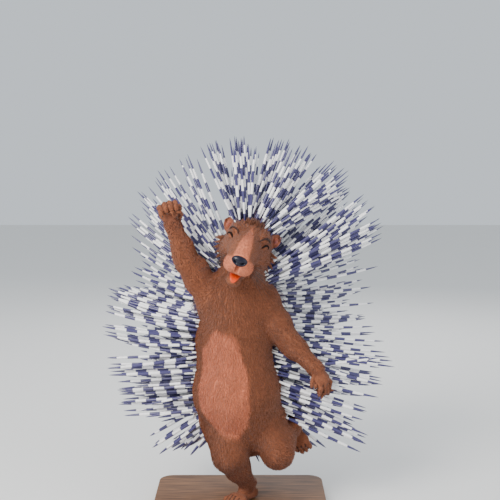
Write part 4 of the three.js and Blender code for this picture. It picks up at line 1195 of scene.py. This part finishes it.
# %% The fan
REACH_CENTRE, REACH_RADII = np.array([26.0, 30, 548]), np.array([412.0, 345, 462])
FAN_X, FAN_Y = -4, -4
HEIGHTS = [190, 235, 270, 400, 500, 540, 590, 620, 650, 680]
RISE_RIGHT = [-54, -38, -15, -4, 3, 7, 19, 31, 46, 62]
RISE_LEFT = [-52, -40, -30, -23, -16, -11, 3, 18, 36, 54]
SPREAD = [1.3, 1.3, 1.3, 1.4, 2.0, 2.5, 2.5, 2.0, 1.6, 1.3]
SHOULDER, LEAN_BACK, DEPTH_JITTER = 470, 0.2, 0.07
FULLY_SIDEWAYS, FLESH_PULL = 90, 0.15
SHORTEST, LONGEST = 90, 385
LOW_REACH, LOW_HEIGHTS = 0.7, [210, 330]
UPWARDS = np.array([0, 0, 1])


def to_reach(roots, ways):
    """How far each root is from the egg, along its way. Low quills at the sides go further."""
    p, d = (roots - REACH_CENTRE) / REACH_RADII, ways / REACH_RADII
    a, b = (d * d).sum(axis=1), (p * d).sum(axis=1)
    reach = (np.sqrt(np.maximum(b * b - a * ((p * p).sum(axis=1) - 1), 0)) - b) / a
    return reach * (1 + LOW_REACH * np.abs(ways[:, 0]) * np.interp(roots[:, 2], LOW_HEIGHTS, [1, 0]))


def fan_way(roots, out):
    """Away from the spine, and raised by angles that differ from the right side to the left."""
    side = (np.clip(roots[:, 0] / FULLY_SIDEWAYS, -1, 1) + 1) / 2
    right, left = np.interp(roots[:, 2], HEIGHTS, RISE_RIGHT), np.interp(roots[:, 2], HEIGHTS, RISE_LEFT)
    rise = np.radians(right + (left - right) * side)
    sideways = (roots[:, 0] - FAN_X) * np.interp(roots[:, 2], HEIGHTS, SPREAD)
    flat = unit(np.stack([sideways, roots[:, 1] - FAN_Y, np.zeros(len(roots))], axis=1))
    way = flat * np.cos(rise)[:, None] + UPWARDS * np.sin(rise)[:, None]
    way[:, 1] += np.where(roots[:, 2] > SHOULDER, LEAN_BACK, 0) + draw.normal(size=len(roots)) * DEPTH_JITTER
    return unit(way + FLESH_PULL * out)


# %% Roots in rows round the trunk
ROW_HEIGHTS, ROW_HALVES = [205, 250, 560, 601, 670], [90, 101, 101, 112, 116]
TRUNK_RADIUS, NECK_RADIUS, NECK_FROM = 100, 72, 560
ROOT_DEPTH, ROW_JITTER = -8, 0.3


def row_jitter(spacing):
    return draw.uniform(-ROW_JITTER, ROW_JITTER) * spacing


def trunk_roots(low, high, spacing):
    starts, ways = [], []
    rows = round((high - low) / spacing)
    for row in range(rows + 1):
        height = low + (high - low) * row / rows
        half = float(np.interp(height, ROW_HEIGHTS, ROW_HALVES))
        around = TRUNK_RADIUS if height < NECK_FROM else NECK_RADIUS
        count = round(math.radians(2 * half) * around / spacing)
        for k in range(count):
            share = (k + 0.5 + 0.5 * (row % 2)) / count
            angle = math.radians(half * (2 * share - 1)) + row_jitter(spacing) / TRUNK_RADIUS
            starts.append(spine_at(np.array([height + row_jitter(spacing)]))[0])
            ways.append((math.sin(angle), math.cos(angle), 0))
    roots = meet(("trunk", "thigh_right", "thigh_left"), np.array(starts), np.array(ways), ROOT_DEPTH)
    return roots, part_slope("trunk", roots)


# %% [markdown]
# No quill may run through the head, a limb or an ear. The same distances tell how near each station of
# each quill comes to them. A quill that is blocked tries other directions, more and more of them off
# its own, and one that finds no way is left out.

# %% Shape of a quill
SHARES = np.array([-0.03, 0.06, 0.16, 0.3, 0.45, 0.6, 0.74, 0.86, 0.95, 1.0])
SPINDLE = np.array([0.5, 0.66, 0.88, 1.0, 1.0, 0.97, 0.88, 0.68, 0.38])


def quill_path(roots, ways, lengths, bow):
    """Stations along each quill, which bends upwards by its bow and starts a little under the skin."""
    upright = UPWARDS - ways * ways[:, 2:3]
    bend = (np.sign(SHARES) * SHARES**2)[None, :, None] * (lengths * bow)[:, None, None]
    return roots[:, None] + ways[:, None] * (lengths[:, None] * SHARES)[:, :, None] + upright[:, None] * bend


# %% Quills that keep clear of the body
MARGIN = 1.5


def blocked(path, radii, own, lowest):
    """Which quills dip too low, or come too near a part that doesn't carry them."""
    count = len(path)

    def too_near(distance, first, margin):
        gap = distance(path[:, first:].reshape(-1, 3)).reshape(count, -1)
        return (gap < radii[:, None] + margin).any(axis=1)

    bad = path[:, -1, 2] < lowest
    for name in NAMES:
        if name not in ("trunk", "tail"):
            carries = name == own or own == "trunk" and name.startswith("thigh")
            bad |= too_near(lambda p, n=name: part_distance(n, p), 3 if carries else 0, MARGIN)
    bad |= too_near(lambda p: part_distance("trunk", p), 3 if own == "trunk" else 1, 0)
    for side in (-1, 1):
        bad |= too_near(lambda p, s=side: ear_distance(s, p), 0, MARGIN)
    return bad


# %% A free way for each quill
MOST_STRAY, MOST_FORWARD = math.cos(math.radians(30)), 0.2
BACKWARDS = np.array([0, 0.05, 0])
TRIES, FIRST_STRAY, MORE_STRAY = 7, 0.05, 0.03


def room_in_box(roots, ways):
    """How far a quill may reach before its tip leaves the box of the solids."""
    low, high = (np.array(corner) / MM for corner in solid_box)
    room = np.where(ways > 0, high - roots, low - roots) / np.where(ways == 0, 1e-6, ways)
    return room.min(axis=1) - 2


def free_ways(roots, ways, lengths, bow, radii, own, lowest):
    """Turns each blocked quill until it is free, and tells which ended free and near their own way."""
    first = ways.copy()
    for attempt in range(TRIES):
        bad = blocked(quill_path(roots, ways, lengths, bow), radii, own, lowest)
        if attempt < TRIES - 1:
            shift = draw.normal(size=(bad.sum(), 3)) * (FIRST_STRAY + MORE_STRAY * attempt)
            ways[bad] = unit(ways[bad] + shift + BACKWARDS)
    strayed = (ways * first).sum(axis=1) < MOST_STRAY
    strayed |= ways[:, 1] < first[:, 1] - MOST_FORWARD
    return ways, ~(bad | strayed)


def way_to_company(tips):
    """How far it is from each tip to the third nearest of the others."""
    tree = KDTree(len(tips))
    for place, tip in enumerate(tips):
        tree.insert(tip, place)
    tree.balance()
    return np.array([tree.find_n(tip, 4)[-1][2] for tip in tips])


# %% [markdown]
# ## Banded horn
# The bands sit along each quill at a fixed step, counted from the tip, so that neighbours share them
# and the fan shows rings. The mesh carries that count and the way left to the tip, and the material
# turns them into slate and white.

# %% Material of the quills
QUILL_DARK, QUILL_WHITE = from_screen(62, 57, 104), from_screen(252, 250, 250)
BAND_STEP, MOST_BANDS, TIP_DARK = 58.0, 10, 22.0


def math_node(nodes, links, operation, first, second):
    node = nodes.new("ShaderNodeMath")
    node.operation = operation
    for socket, value in zip(node.inputs, (first, second)):
        if isinstance(value, (int, float)):
            socket.default_value = value
        else:
            links.new(value, socket)
    return node.outputs["Value"]


def banded_horn():
    material, nodes, links, shader = new_material("banded horn")
    painted = nodes.new("ShaderNodeAttribute")
    painted.attribute_name = "coat"
    parts = nodes.new("ShaderNodeSeparateColor")
    links.new(painted.outputs["Color"], parts.inputs["Color"])
    count = math_node(nodes, links, "MULTIPLY", parts.outputs["Red"], MOST_BANDS)
    wave = math_node(nodes, links, "PINGPONG", count, 0.5)
    band = nodes.new("ShaderNodeMapRange")
    band.interpolation_type = "SMOOTHSTEP"
    set_levels(band, {"From Min": 0.27, "From Max": 0.235})
    links.new(wave, band.inputs["Value"])
    tip = math_node(nodes, links, "LESS_THAN", parts.outputs["Green"], TIP_DARK / LONGEST)
    mix = nodes.new("ShaderNodeMix")
    mix.data_type = "RGBA"
    set_levels(mix, {"A": (*QUILL_WHITE, 1), "B": (*QUILL_DARK, 1)})
    links.new(math_node(nodes, links, "MAXIMUM", band.outputs["Result"], tip), mix.inputs["Factor"])
    grain = noise_at(nodes, links, 260, 4)
    links.new(vary(nodes, links, mix.outputs["Result"], grain, 0.88, 1.06), shader.inputs["Base Color"])
    set_levels(shader, {"Roughness": 0.34, "Coat Weight": 0.25, "Coat Roughness": 0.25})
    return material


quill_finish = banded_horn()
print("bands every", BAND_STEP, "mm from the tip")


# %% A mesh of quills
QUILL_SIDES, QUILL_PATCH = 6, (0.006, 0.03)
OFF_AXIS = np.array([0.3, 0.2, 0.93])  # no quill lies along this way, so that a cross product has a length


def quill_tones(lengths, full, shift, size):
    """For each point, the count of bands from the egg in red and the way left to the tip in green."""
    left_over = lengths[:, None] * (1 - np.clip(SHARES, 0, 1))
    bands = ((full - lengths)[:, None] + left_over) / BAND_STEP + shift[:, None] + 0.5
    tones = np.zeros((len(lengths), size, 3))
    for channel, values in enumerate((np.clip(bands, 0, MOST_BANDS) / MOST_BANDS, left_over / LONGEST)):
        tones[:, :-1, channel] = np.repeat(values[:, :-1], QUILL_SIDES, axis=1)
        tones[:, -1, channel] = values[:, -1]
    return tones.reshape(-1, 3)


def quill_mesh(name, own, roots, ways, path, radii, lengths, full, shift):
    across = unit(np.cross(ways, OFF_AXIS))
    over = unit(np.cross(across, ways))
    places = unwrap(roots, NAMES.index(own))
    places = 0.04 + 0.92 * (places - places.min(axis=0)) / np.ptp(places, axis=0)
    widths = SPINDLE * radii[:, None]
    points, faces, sheet, size = spikes(path, widths, 1.0, across, over, QUILL_SIDES, places, QUILL_PATCH)
    tones = quill_tones(lengths, full, shift, size)
    array_mesh(name, points, faces, sheet, tones, quill_finish)
    return faces


# %% Grow quills
IN_CLUMP, MOST_ALONE = 6, 92
BAND_JITTER, BOW_JITTER = 0.06, 0.02
BOW_HEIGHTS, BOWS = [200, 400], [-0.05, 0.08]


def raise_quills(name, roots, ways, lengths, radius, bow, own, pull=0.0, lowest=122):
    """Quills as one mesh. lengths reach the egg, and those drawn together share their bands."""
    count = len(roots)
    full, leader = lengths, np.arange(count)
    if pull:
        lengths = lengths * draw.uniform(0.94, 1.02, count)
        tips, leader = gather(roots, roots + ways * lengths[:, None], IN_CLUMP, pull)
        ways, lengths = unit(tips - roots), np.linalg.norm(tips - roots, axis=1)
    shift = draw.uniform(-BAND_JITTER, BAND_JITTER, count)[leader]
    radii = radius * draw.uniform(0.86, 1.12, count)
    bow = bow + draw.normal(size=count)[leader] * BOW_JITTER * (pull > 0)
    ways, keep = free_ways(roots, ways, lengths, bow, radii, own, lowest)
    lengths = np.minimum(lengths, room_in_box(roots, ways))
    path = quill_path(roots, ways, lengths, bow)
    keep[keep] = way_to_company(path[keep, -1]) < MOST_ALONE
    kept = (values[keep] for values in (roots, ways, path, radii, lengths, full, shift))
    faces = quill_mesh(name, own, *kept)
    report(name, int(keep.sum()), faces, f"quills of {count}")


def trunk_quills(name, low, high, spacing, radius, shares, pull):
    roots, out = trunk_roots(low, high, spacing)
    ways = unit(fan_way(roots, out) + draw.normal(size=roots.shape) * 0.05)
    reach = np.clip(to_reach(roots, ways), SHORTEST, LONGEST) * draw.uniform(*shares, len(roots))
    bow = np.interp(roots[:, 2], BOW_HEIGHTS, BOWS)
    raise_quills(name, roots, ways, reach, radius, bow, "trunk", pull)


trunk_quills("quills_back", 196, 576, 18.5, 4.9, (0.97, 1.02), 0.5)
trunk_quills("quills_back_short", 196, 586, 20.0, 3.8, (0.55, 0.88), 0.3)
trunk_quills("quills_shoulders", 490, 640, 13.5, 4.5, (0.94, 1.03), 0.45)
trunk_quills("quills_nape", 596, 700, 13.5, 4.0, (0.92, 1.02), 0.45)


# %% Crest on the crown
CROWN_ROWS, CROWN_IN_ROW, CROWN_HALF = 10, 11, 66
CROWN_TILT, CROWN_TURN = 64, 100  # the first row's angle above the nose, and from there to the last row
CROWN_LONGEST, CROWN_STEEP = 330, 0.3
SKULL_MIDDLE = np.array([[0.0, 18, 9]])


def crown_ways_in_rows():
    """Directions from the middle of the skull, row by row from the brow back to the nape."""
    ways = []
    for row in range(CROWN_ROWS):
        tilt = math.radians(CROWN_TILT + CROWN_TURN * row / (CROWN_ROWS - 1))
        steps = CROWN_IN_ROW - 1 + row % 2
        for k in range(steps + 1):
            angle = math.radians(-CROWN_HALF + 2 * CROWN_HALF * k / steps) + draw.uniform(-0.04, 0.04)
            forward = math.cos(angle)
            ways.append((math.sin(angle), -math.cos(tilt) * forward, math.sin(tilt) * forward))
    return unit(np.array(ways))


def crest_ways(away):
    """The quills of the crown lean outwards and back, and on the low side of the head they stand up."""
    ways = away * [1.2, 1, 1] + [6, 14, 20]
    ways[:, 1] = away[:, 1] * (0.6 + 0.7 * np.clip(away[:, 1] / 60, 0, 1)) + 14
    ways[:, 2] += 0.55 * np.maximum(0, -away[:, 0])
    return unit(unit(ways) + draw.normal(size=ways.shape) * [0.07, 0.13, 0.07])


from_skull = crown_ways_in_rows() @ HEAD_FRAME[:3, :3].T
middle = out_of(HEAD_FRAME, SKULL_MIDDLE)
roots = meet(("head",), np.repeat(middle, len(from_skull), axis=0), from_skull, -6)
ways = crest_ways(roots - np.array(HEAD_PLACE))
steep = ways[:, 2] > CROWN_STEEP
roots, ways = roots[steep], ways[steep]
lengths = np.clip(to_reach(roots, ways), SHORTEST, CROWN_LONGEST) * draw.uniform(0.88, 1.0, len(roots))
raise_quills("quills_crown", roots, ways, lengths, 3.7, 0.04, "head", 0.45)

# %% [markdown]
# ## Under the rump and on the tail
# Below the first row the rump turns under, with shorter quills. The tail ends in blunt, hollow quills
# that rattle; from the front they hide, but a walk round the model shows them.

# %% Rump quills
RUMP_HEIGHT, RUMP_DROPS, RUMP_IN_ROW, RUMP_HALF = 205.0, (14, 30, 46), 11, 64
rump_ways = []
for fall in (math.radians(drop) for drop in RUMP_DROPS):
    for k in range(RUMP_IN_ROW):
        turned = math.radians(-RUMP_HALF + 2 * RUMP_HALF * k / (RUMP_IN_ROW - 1)) + draw.uniform(-0.05, 0.05)
        level = math.cos(fall)
        rump_ways.append((-math.sin(turned) * level, math.cos(turned) * level, -math.sin(fall)))
starts = np.repeat(spine_at(np.array([RUMP_HEIGHT])), len(rump_ways), axis=0)
roots = meet(("trunk",), starts, np.array(rump_ways), ROOT_DEPTH)
ways = unit(fan_way(roots, part_slope("trunk", roots)) + draw.normal(size=roots.shape) * 0.06)
lengths = np.minimum(draw.uniform(95, 170, len(roots)), to_reach(roots, ways))
raise_quills("quills_rump", roots, ways, lengths, 2.9, -0.04, "trunk", 0.3, lowest=70)

# %% Tail quills
TAIL_ROWS, TAIL_IN_ROW, TAIL_FROM = 8, 12, 0.28
tail_start, tail_end = (np.array(p, float) for p in PARTS["tail"]["axis"])
tail_along = unit((tail_end - tail_start)[None])[0]
tail_side = unit(np.cross(tail_along, [[0, 0, 1.0]]))[0]
spots = []
for row in range(TAIL_ROWS):
    for k in range(TAIL_IN_ROW):
        turned = 2 * math.pi * (k + (row % 2) / 2) / TAIL_IN_ROW + draw.uniform(-0.1, 0.1)
        spots.append((TAIL_FROM + (1 - TAIL_FROM) * row / (TAIL_ROWS - 1), turned))
spots = np.array(spots)
around = np.cos(spots[:, 1:]) * np.cross(tail_side, tail_along) + np.sin(spots[:, 1:]) * tail_side
roots = meet(("tail",), tail_start + (tail_end - tail_start) * spots[:, :1], around, -5)
ways = unit(tail_along * 1.05 + around)
raise_quills("quills_tail", roots, ways, draw.uniform(50, 92, len(roots)), 1.9, -0.03, "tail", lowest=40)

# %% [markdown]
# ## Nose
# The nose is a pad of dark, moist leather with two slanting nostrils. A ball, pressed flat and dented
# with a few smooth pushes, is quicker to shape than a mesh drawn by hand.

# %% Leather, and a finished piece from a bmesh
def leather(name, colour, roughness, wet, scale, depth):
    material, nodes, links, shader, pebbles = speckled(name, colour, (0.75, 1.25), scale, 4)
    set_levels(shader, {"Roughness": roughness, "Specular IOR Level": 0.3})
    set_levels(shader, {"Coat Weight": wet, "Coat Roughness": 0.15})
    bumped(nodes, links, shader, pebbles, 0.35, depth)
    return material


def finished(name, shape, finish, nodes, frame_matrix=HERE):
    """Turns a bmesh in millimetres into a piece at its place, riding on the body."""
    bmesh.ops.recalc_face_normals(shape, faces=shape.faces)
    mesh = as_mesh(name, shape)
    mesh.transform(Matrix.Scale(MM, 4) @ Matrix(frame_matrix))
    mesh.shade_smooth()
    mesh.materials.append(finish)
    piece = put_in_scene(name, mesh)
    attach(piece, "root")
    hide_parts(*nodes)
    print(name, len(mesh.vertices), "points")
    return piece


# %% Nose
NOSE_CENTRE, NOSE_RADII, NOSE_FLARE = Vector((0, -129, 1)), (20, 10, 13.5), 0.12
NOSTRIL_OUT, NOSTRIL_WIDE, NOSTRIL_HIGH, NOSTRIL_DEPTH = 9.5, 4.8, 2.9, 9
GROOVE_WIDE, GROOVE_DEPTH = 1.6, 1.6


def nostril_dent(point, side):
    dx = point.x - side * (NOSTRIL_OUT + 0.25 * (point.z + 1))
    dz = point.z + 2 - 0.35 * side * dx
    return NOSTRIL_DEPTH * math.exp(-((dx / NOSTRIL_WIDE) ** 2) - (dz / NOSTRIL_HIGH) ** 2)


def nose_point(x, y, z):
    """A point of the unit ball, drawn out to the nose pad: wider at the top, with nostrils and a groove."""
    wide, deep, high = NOSE_RADII
    point = Vector((wide * (1 + NOSE_FLARE * z) * x, deep * y, high * z))
    if y < 0:
        point.y += nostril_dent(point, -1)
        point.y += nostril_dent(point, 1)
        point.y += GROOVE_DEPTH * math.exp(-((point.x / GROOVE_WIDE) ** 2)) * (z < 0.2)
    return point + NOSE_CENTRE


nose_leather = leather("nose leather", from_screen(16, 16, 34), 0.32, 0.12, 1400, 0.0003)
nose = bmesh.new()
bmesh.ops.create_uvsphere(nose, u_segments=56, v_segments=36, radius=1)
for v in nose.verts:
    v.co = nose_point(*v.co)
finished("nose_pad", nose, nose_leather, ["nose"], HEAD_FRAME)

# %% [markdown]
# ## Tongue
# The mouth is a little open, and the tongue lies on the lower lip. A flattened ball is bent down at the
# front, with a shallow groove along its middle.

# %% Tongue
TONGUE_PLACE, TONGUE_RADII = (0, -84, -55), (14, 30, 4.0)
TONGUE_DROOP, TONGUE_GROOVE = 12, 1.4


def tongue_point(x, y, z):
    wide, long, thick = TONGUE_RADII
    droop = TONGUE_DROOP * max(0.0, -y) ** 3
    groove = TONGUE_GROOVE * math.exp(-((x * 5) ** 2)) * (z > 0)
    return Vector((wide * x, long * y + TONGUE_PLACE[1], thick * z + TONGUE_PLACE[2] - droop - groove))


tongue_wet = leather("moist tongue", from_screen(214, 68, 18), 0.36, 0.2, 900, 0.0005)
tongue = bmesh.new()
bmesh.ops.create_uvsphere(tongue, u_segments=32, v_segments=24, radius=1)
for v in tongue.verts:
    v.co = tongue_point(*v.co)
finished("tongue_moist", tongue, tongue_wet, ["tongue"], HEAD_FRAME)

# %% [markdown]
# ## Closed eyes
# The eyes are shut, so what shows is the line where the lids meet, edged with short dark lashes. The
# line bows upwards over the eyeball. A small circle, spun along an arc and laid on the lid, draws it.

# %% Lid lines
ARC_RADIUS, ARC_HALF, LINE_RADIUS, LINE_DROP, LINE_SINK = 13.0, math.radians(76), 2.4, 8.0, 1.2
THIN_FROM, THIN_OVER, THIN_LOSS = 35, 40, 0.65


def lid_dome(x, z):
    """How far in front of the lid's middle its surface lies, as a negative y."""
    wide, deep, high = LID["radii"]
    return -deep * math.sqrt(max(0.02, 1 - (x / wide) ** 2 - (z / high) ** 2))


def arched_line():
    """A small circle, spun along an arc about Y."""
    line = bmesh.new()
    ring = bmesh.ops.create_circle(line, segments=10, radius=LINE_RADIUS)["verts"]
    turn = Matrix.Translation((0, 0, ARC_RADIUS)) @ Matrix.Rotation(math.radians(90), 4, "Y")
    bmesh.ops.transform(line, verts=ring, matrix=Matrix.Rotation(-ARC_HALF, 4, "Y") @ turn)
    bmesh.ops.spin(
        line, geom=line.verts[:] + line.edges[:], cent=(0, 0, 0), axis=(0, 1, 0),
        angle=2 * ARC_HALF, steps=24, use_merge=False,
    )
    bmesh.ops.holes_fill(line, edges=[e for e in line.edges if e.is_boundary])
    return line


def laid_on_lid(point):
    """The line grows thinner towards its ends and follows the lid's dome, half sunk in it."""
    reach = math.degrees(math.atan2(abs(point.x), point.z))
    thin = 1 - THIN_LOSS * max(0, reach - THIN_FROM) / THIN_OVER
    away = point.xz.length - ARC_RADIUS
    flat = point.xz.normalized() * (ARC_RADIUS + away * thin)
    x, z = flat.x, flat.y - LINE_DROP
    return Vector((x, point.y * thin + (lid_dome(x, z) + LINE_SINK), z))


lash_dark, nodes, links, shader, _ = speckled("lid line", from_screen(26, 16, 16), (0.7, 1.2), 800)
set_levels(shader, {"Roughness": 0.8, "Specular IOR Level": 0.15})
for side, name in ((-1, "right"), (1, "left")):
    line = arched_line()
    for v in line.verts:
        v.co = laid_on_lid(v.co)
    finished("lid_line_" + name, line, lash_dark, ["eyelid_" + name], LID_FRAMES[side])

# %% [markdown]
# ## Claws
# Claws are dark horn, curved and a little flattened. A cone is cut across a few times, so that it can
# bend, and then curls towards the palm. Each paw's claws are one piece.

# %% Shape of a claw
CLAW_LENGTH, CLAW_RADIUS, CLAW_TIP, CLAW_ROOT, CLAW_BEND = 17, 3.6, 0.25, 6, 7
CLAW_CUTS = 8
CLAW_FLATTER, CLAW_DEEPER, CLAW_SWELL = 0.85, 1.1, 0.35


def straight_claw(size, length):
    """A cone along Z, cut across so that it can bend. It starts a little inside the digit."""
    claw = bmesh.new()
    bmesh.ops.create_cone(claw, cap_ends=True, segments=12, radius1=CLAW_RADIUS, radius2=CLAW_TIP, depth=1)
    for k in range(1, CLAW_CUTS):
        everything, level = claw.verts[:] + claw.edges[:] + claw.faces[:], k / CLAW_CUTS - 0.5
        bmesh.ops.bisect_plane(claw, geom=everything, plane_co=(0, 0, level), plane_no=(0, 0, 1))
    for v in claw.verts:
        share = v.co.z + 0.5
        swell = size * (1 + CLAW_SWELL * math.sin(math.pi * min(share * 1.3, 1)))
        x, y = v.co.x * swell * CLAW_FLATTER, v.co.y * swell * CLAW_DEEPER
        v.co = Vector((x, y, share * length - CLAW_ROOT))
    bmesh.ops.recalc_face_normals(claw, faces=claw.faces)
    return as_mesh("claw", claw)


def add_claw(clay, digit, curl, size):
    tip, before = Vector(digit[-1]), Vector(digit[-2])
    way, curl = (tip - before).normalized(), Vector(curl)
    curl = (curl - way * curl.dot(way)).normalized()
    length = CLAW_LENGTH * size + CLAW_ROOT
    piece = straight_claw(size, length)
    piece.transform(Matrix((curl.cross(way), curl, way)).transposed().to_4x4())
    for v in piece.vertices:
        share = max(0.0, (v.co @ way + CLAW_ROOT) / length)
        v.co += curl * (CLAW_BEND * size * share**2) + tip
    clay.from_mesh(piece)
    bpy.data.meshes.remove(piece)


# %% Claws of each paw
CURLS = {
    "hand_right": (0, 1, 0),
    "hand_left": (0, -1, 0),
    "foot_right": (0, -0.55, 0),
    "foot_left": (0, -1, 0),
}
THUMB_CURL = (0, -1, 0.3)
THUMB_CLAW, FIST_CLAW, OUTER_TOE_CLAW = 0.5, 0.8, 0.85


def claw_size(name, i, is_thumb):
    if is_thumb:
        return THUMB_CLAW
    if name == "hand_right":
        return FIST_CLAW
    return OUTER_TOE_CLAW if name.startswith("foot") and i in (0, 4) else 1.0


claw_horn, nodes, links, shader, growth = speckled(
    "claw horn", from_screen(66, 50, 46), (0.7, 1.35), 700, 3, (1, 1, 0.25)
)
set_levels(shader, {"Roughness": 0.35})
bumped(nodes, links, shader, growth, 0.2, 0.0004)
for name, paw in PAWS.items():
    claws, digits = bmesh.new(), with_thumb(paw)
    for i, digit in enumerate(digits):
        is_thumb = digit is paw["thumb"]
        add_claw(claws, digit, THUMB_CURL if is_thumb else CURLS[name], claw_size(name, i, is_thumb))
    nodes_here = [f"{name}_claw_{k + 1}" for k in range(len(digits))]
    finished("claws_" + name, claws, claw_horn, nodes_here, PARTS[name]["frame"])

# %% [markdown]
# ## Whiskers
# Long stiff hairs stand from the muzzle and above the eyes. They are too thin to be solids, but a
# porcupine without them looks bald. They use the same spikes as the quills, thin and dark.

# %% Whiskers
WHISKER_ROWS, WHISKERS_IN_ROW, WHISKER_SAG = 4, 5, 0.18
WHISKER_STEPS, WHISKER_RADII = np.array([0, 0.25, 0.5, 0.75, 1.0]), [0.45, 0.42, 0.34, 0.24]
MUZZLE_MIDDLE = np.array([[0.0, -90, -18]])
whisker_dark, nodes, links, shader, _ = speckled("whisker", from_screen(38, 30, 32), (0.8, 1.2), 500)
set_levels(shader, {"Roughness": 0.4})
spots = [(side, row, k) for side in (-1, 1) for row in range(WHISKER_ROWS) for k in range(WHISKERS_IN_ROW)]
local = np.array([(side * (30 + 2 * row), -112 + 7 * k, -12 - 7 * row) for side, row, k in spots], float)
ways = np.array([(side, -0.5 + 0.26 * k, 0.1 - 0.2 * row) for side, row, k in spots], float)
muzzle_middle = out_of(HEAD_FRAME, MUZZLE_MIDDLE)
roots = meet_through(("head",), muzzle_middle, out_of(HEAD_FRAME, local), -3)
ways = unit(ways @ HEAD_FRAME[:3, :3].T + draw.normal(size=ways.shape) * 0.08)
lengths = draw.uniform(45, 85, len(roots))
path = roots[:, None] + ways[:, None] * (lengths[:, None] * WHISKER_STEPS)[:, :, None]
path[:, :, 2] -= (lengths[:, None] * WHISKER_STEPS**2) * WHISKER_SAG
across = unit(np.cross(ways, np.array([0.1, 0.2, 0.97])))
over = unit(np.cross(across, ways))
widths = np.tile(WHISKER_RADII, (len(roots), 1))
points, faces, sheet, size = spikes(path, widths, 1.0, across, over, 4, unwrap(roots, ON_HEAD), TUFT_PATCH)
array_mesh("whiskers", points, faces, sheet, np.zeros((len(points), 3)), whisker_dark)
print("whiskers", len(roots))

# %% [markdown]
# ## The base
# A porcupine on one foot needs something to stand on: a plain board of oiled wood. A cube gets its
# round corners and its soft edges from two bevels, and the grain runs along the board.

# %% Shape of the base
BASE_WIDTH, BASE_DEPTH, BASE_HEIGHT, BASE_CORNER, BASE_EDGE = 460, 400, 25, 40, 3


def edge_rise(edge):
    return abs(edge.verts[0].co.z - edge.verts[1].co.z)


def round_off(board, edges, offset, segments):
    bmesh.ops.bevel(
        board, geom=edges, offset=offset, segments=segments, profile=0.5, affect="EDGES", material=-1
    )


board = bmesh.new()
bmesh.ops.create_cube(board, size=1)
full_size = Matrix.Diagonal((BASE_WIDTH, BASE_DEPTH, BASE_HEIGHT, 1))
on_floor = Matrix.Translation((0, 0, BASE_HEIGHT / 2))
bmesh.ops.transform(board, verts=board.verts, matrix=on_floor @ full_size)
round_off(board, [e for e in board.edges if edge_rise(e) > 1], BASE_CORNER, 14)
level = [e for e in board.edges if edge_rise(e) < 0.1 and len(e.link_faces) == 2]
round_off(board, [e for e in level if e.calc_face_angle(0) > 1], BASE_EDGE, 4)
print("base", BASE_WIDTH, "by", BASE_DEPTH, "by", BASE_HEIGHT, "mm, with", len(board.faces), "faces")

# %% Oiled wood
WOOD_TONES = ((0.32, from_screen(78, 50, 32)), (0.68, from_screen(138, 96, 62)))


def oiled_wood():
    material, nodes, links, shader = new_material("oiled walnut")
    grain = noise_at(nodes, links, 26, 8, (0.35, 5.0, 3.0))
    ramp = nodes.new("ShaderNodeValToRGB")
    for stop, (position, colour) in zip(ramp.color_ramp.elements, WOOD_TONES):
        stop.position = position
        stop.color = (*colour, 1)
    links.new(grain.outputs["Fac"], ramp.inputs["Fac"])
    pores = noise_at(nodes, links, 420, 2, (0.08, 1.0, 1.0))
    links.new(vary(nodes, links, ramp.outputs["Color"], pores, 0.8, 1.12), shader.inputs["Base Color"])
    set_levels(shader, {"Roughness": 0.55, "Specular IOR Level": 0.25})
    bumped(nodes, links, shader, pores, 0.15, 0.0003)
    return material


base_piece = finished("base_board", board, oiled_wood(), ["stand_base"])
for side_face in base_piece.data.polygons:
    side_face.use_smooth = abs(side_face.normal.z) < 0.999

# %% [markdown]
# ## The skin stands for the flesh
# The skin takes the place of every node of flesh, ears among them, so no seam shows. It covers the
# lids too, whose nodes have the lid lines in their place already.

# %% Replace the flesh
FLESH_NODES = [
    n for n in frame["nodes"]
    if "_claw_" not in n and n not in ("nose", "tongue", "stand_base") and not n.startswith("eyelid_")
]
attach(skin, "root")
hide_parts(*FLESH_NODES)
print("skin stands for", len(FLESH_NODES), "nodes")

# %% [markdown]
# ## Floor and light
# A pale floor and soft light from large panels show the form without hard shadows. The main panel is
# high on the left, as the picture's light is.

# %% Floor
FLOOR_HALF = 9
stage = bmesh.new()
bmesh.ops.create_grid(stage, x_segments=1, y_segments=1, size=FLOOR_HALF)
floor = put_in_scene("floor", as_mesh("floor", stage))
pale, nodes, links, shader = new_material("pale floor")
set_levels(shader, {"Base Color": (0.78, 0.77, 0.75, 1), "Roughness": 0.9})
floor.data.materials.append(pale)
print("floor", 2 * FLOOR_HALF, "metres wide")


# %% Light
def panel(name, place, aim, size, power, tint=(1, 1, 1)):
    light = bpy.data.lights.new(name, "AREA")
    light.size = size
    light.energy = power
    light.color = tint
    look_at(put_in_scene(name, light), place, aim)


panel("key", (-1.9, -2.4, 2.6), (0, 0, 0.55), 1.8, 190, (1, 0.97, 0.93))
panel("fill", (2.6, -1.8, 1.5), (0, 0, 0.5), 2.2, 28, (0.94, 0.97, 1))
panel("back", (0.6, 2.6, 2.4), (0, 0, 0.6), 2.0, 50)
world = bpy.data.worlds.new("studio")
world.use_nodes = True
set_levels(world.node_tree.nodes["Background"], {"Color": (0.8, 0.87, 0.94, 1), "Strength": 0.9})
bpy.context.scene.world = world
print("three panels and a soft sky")
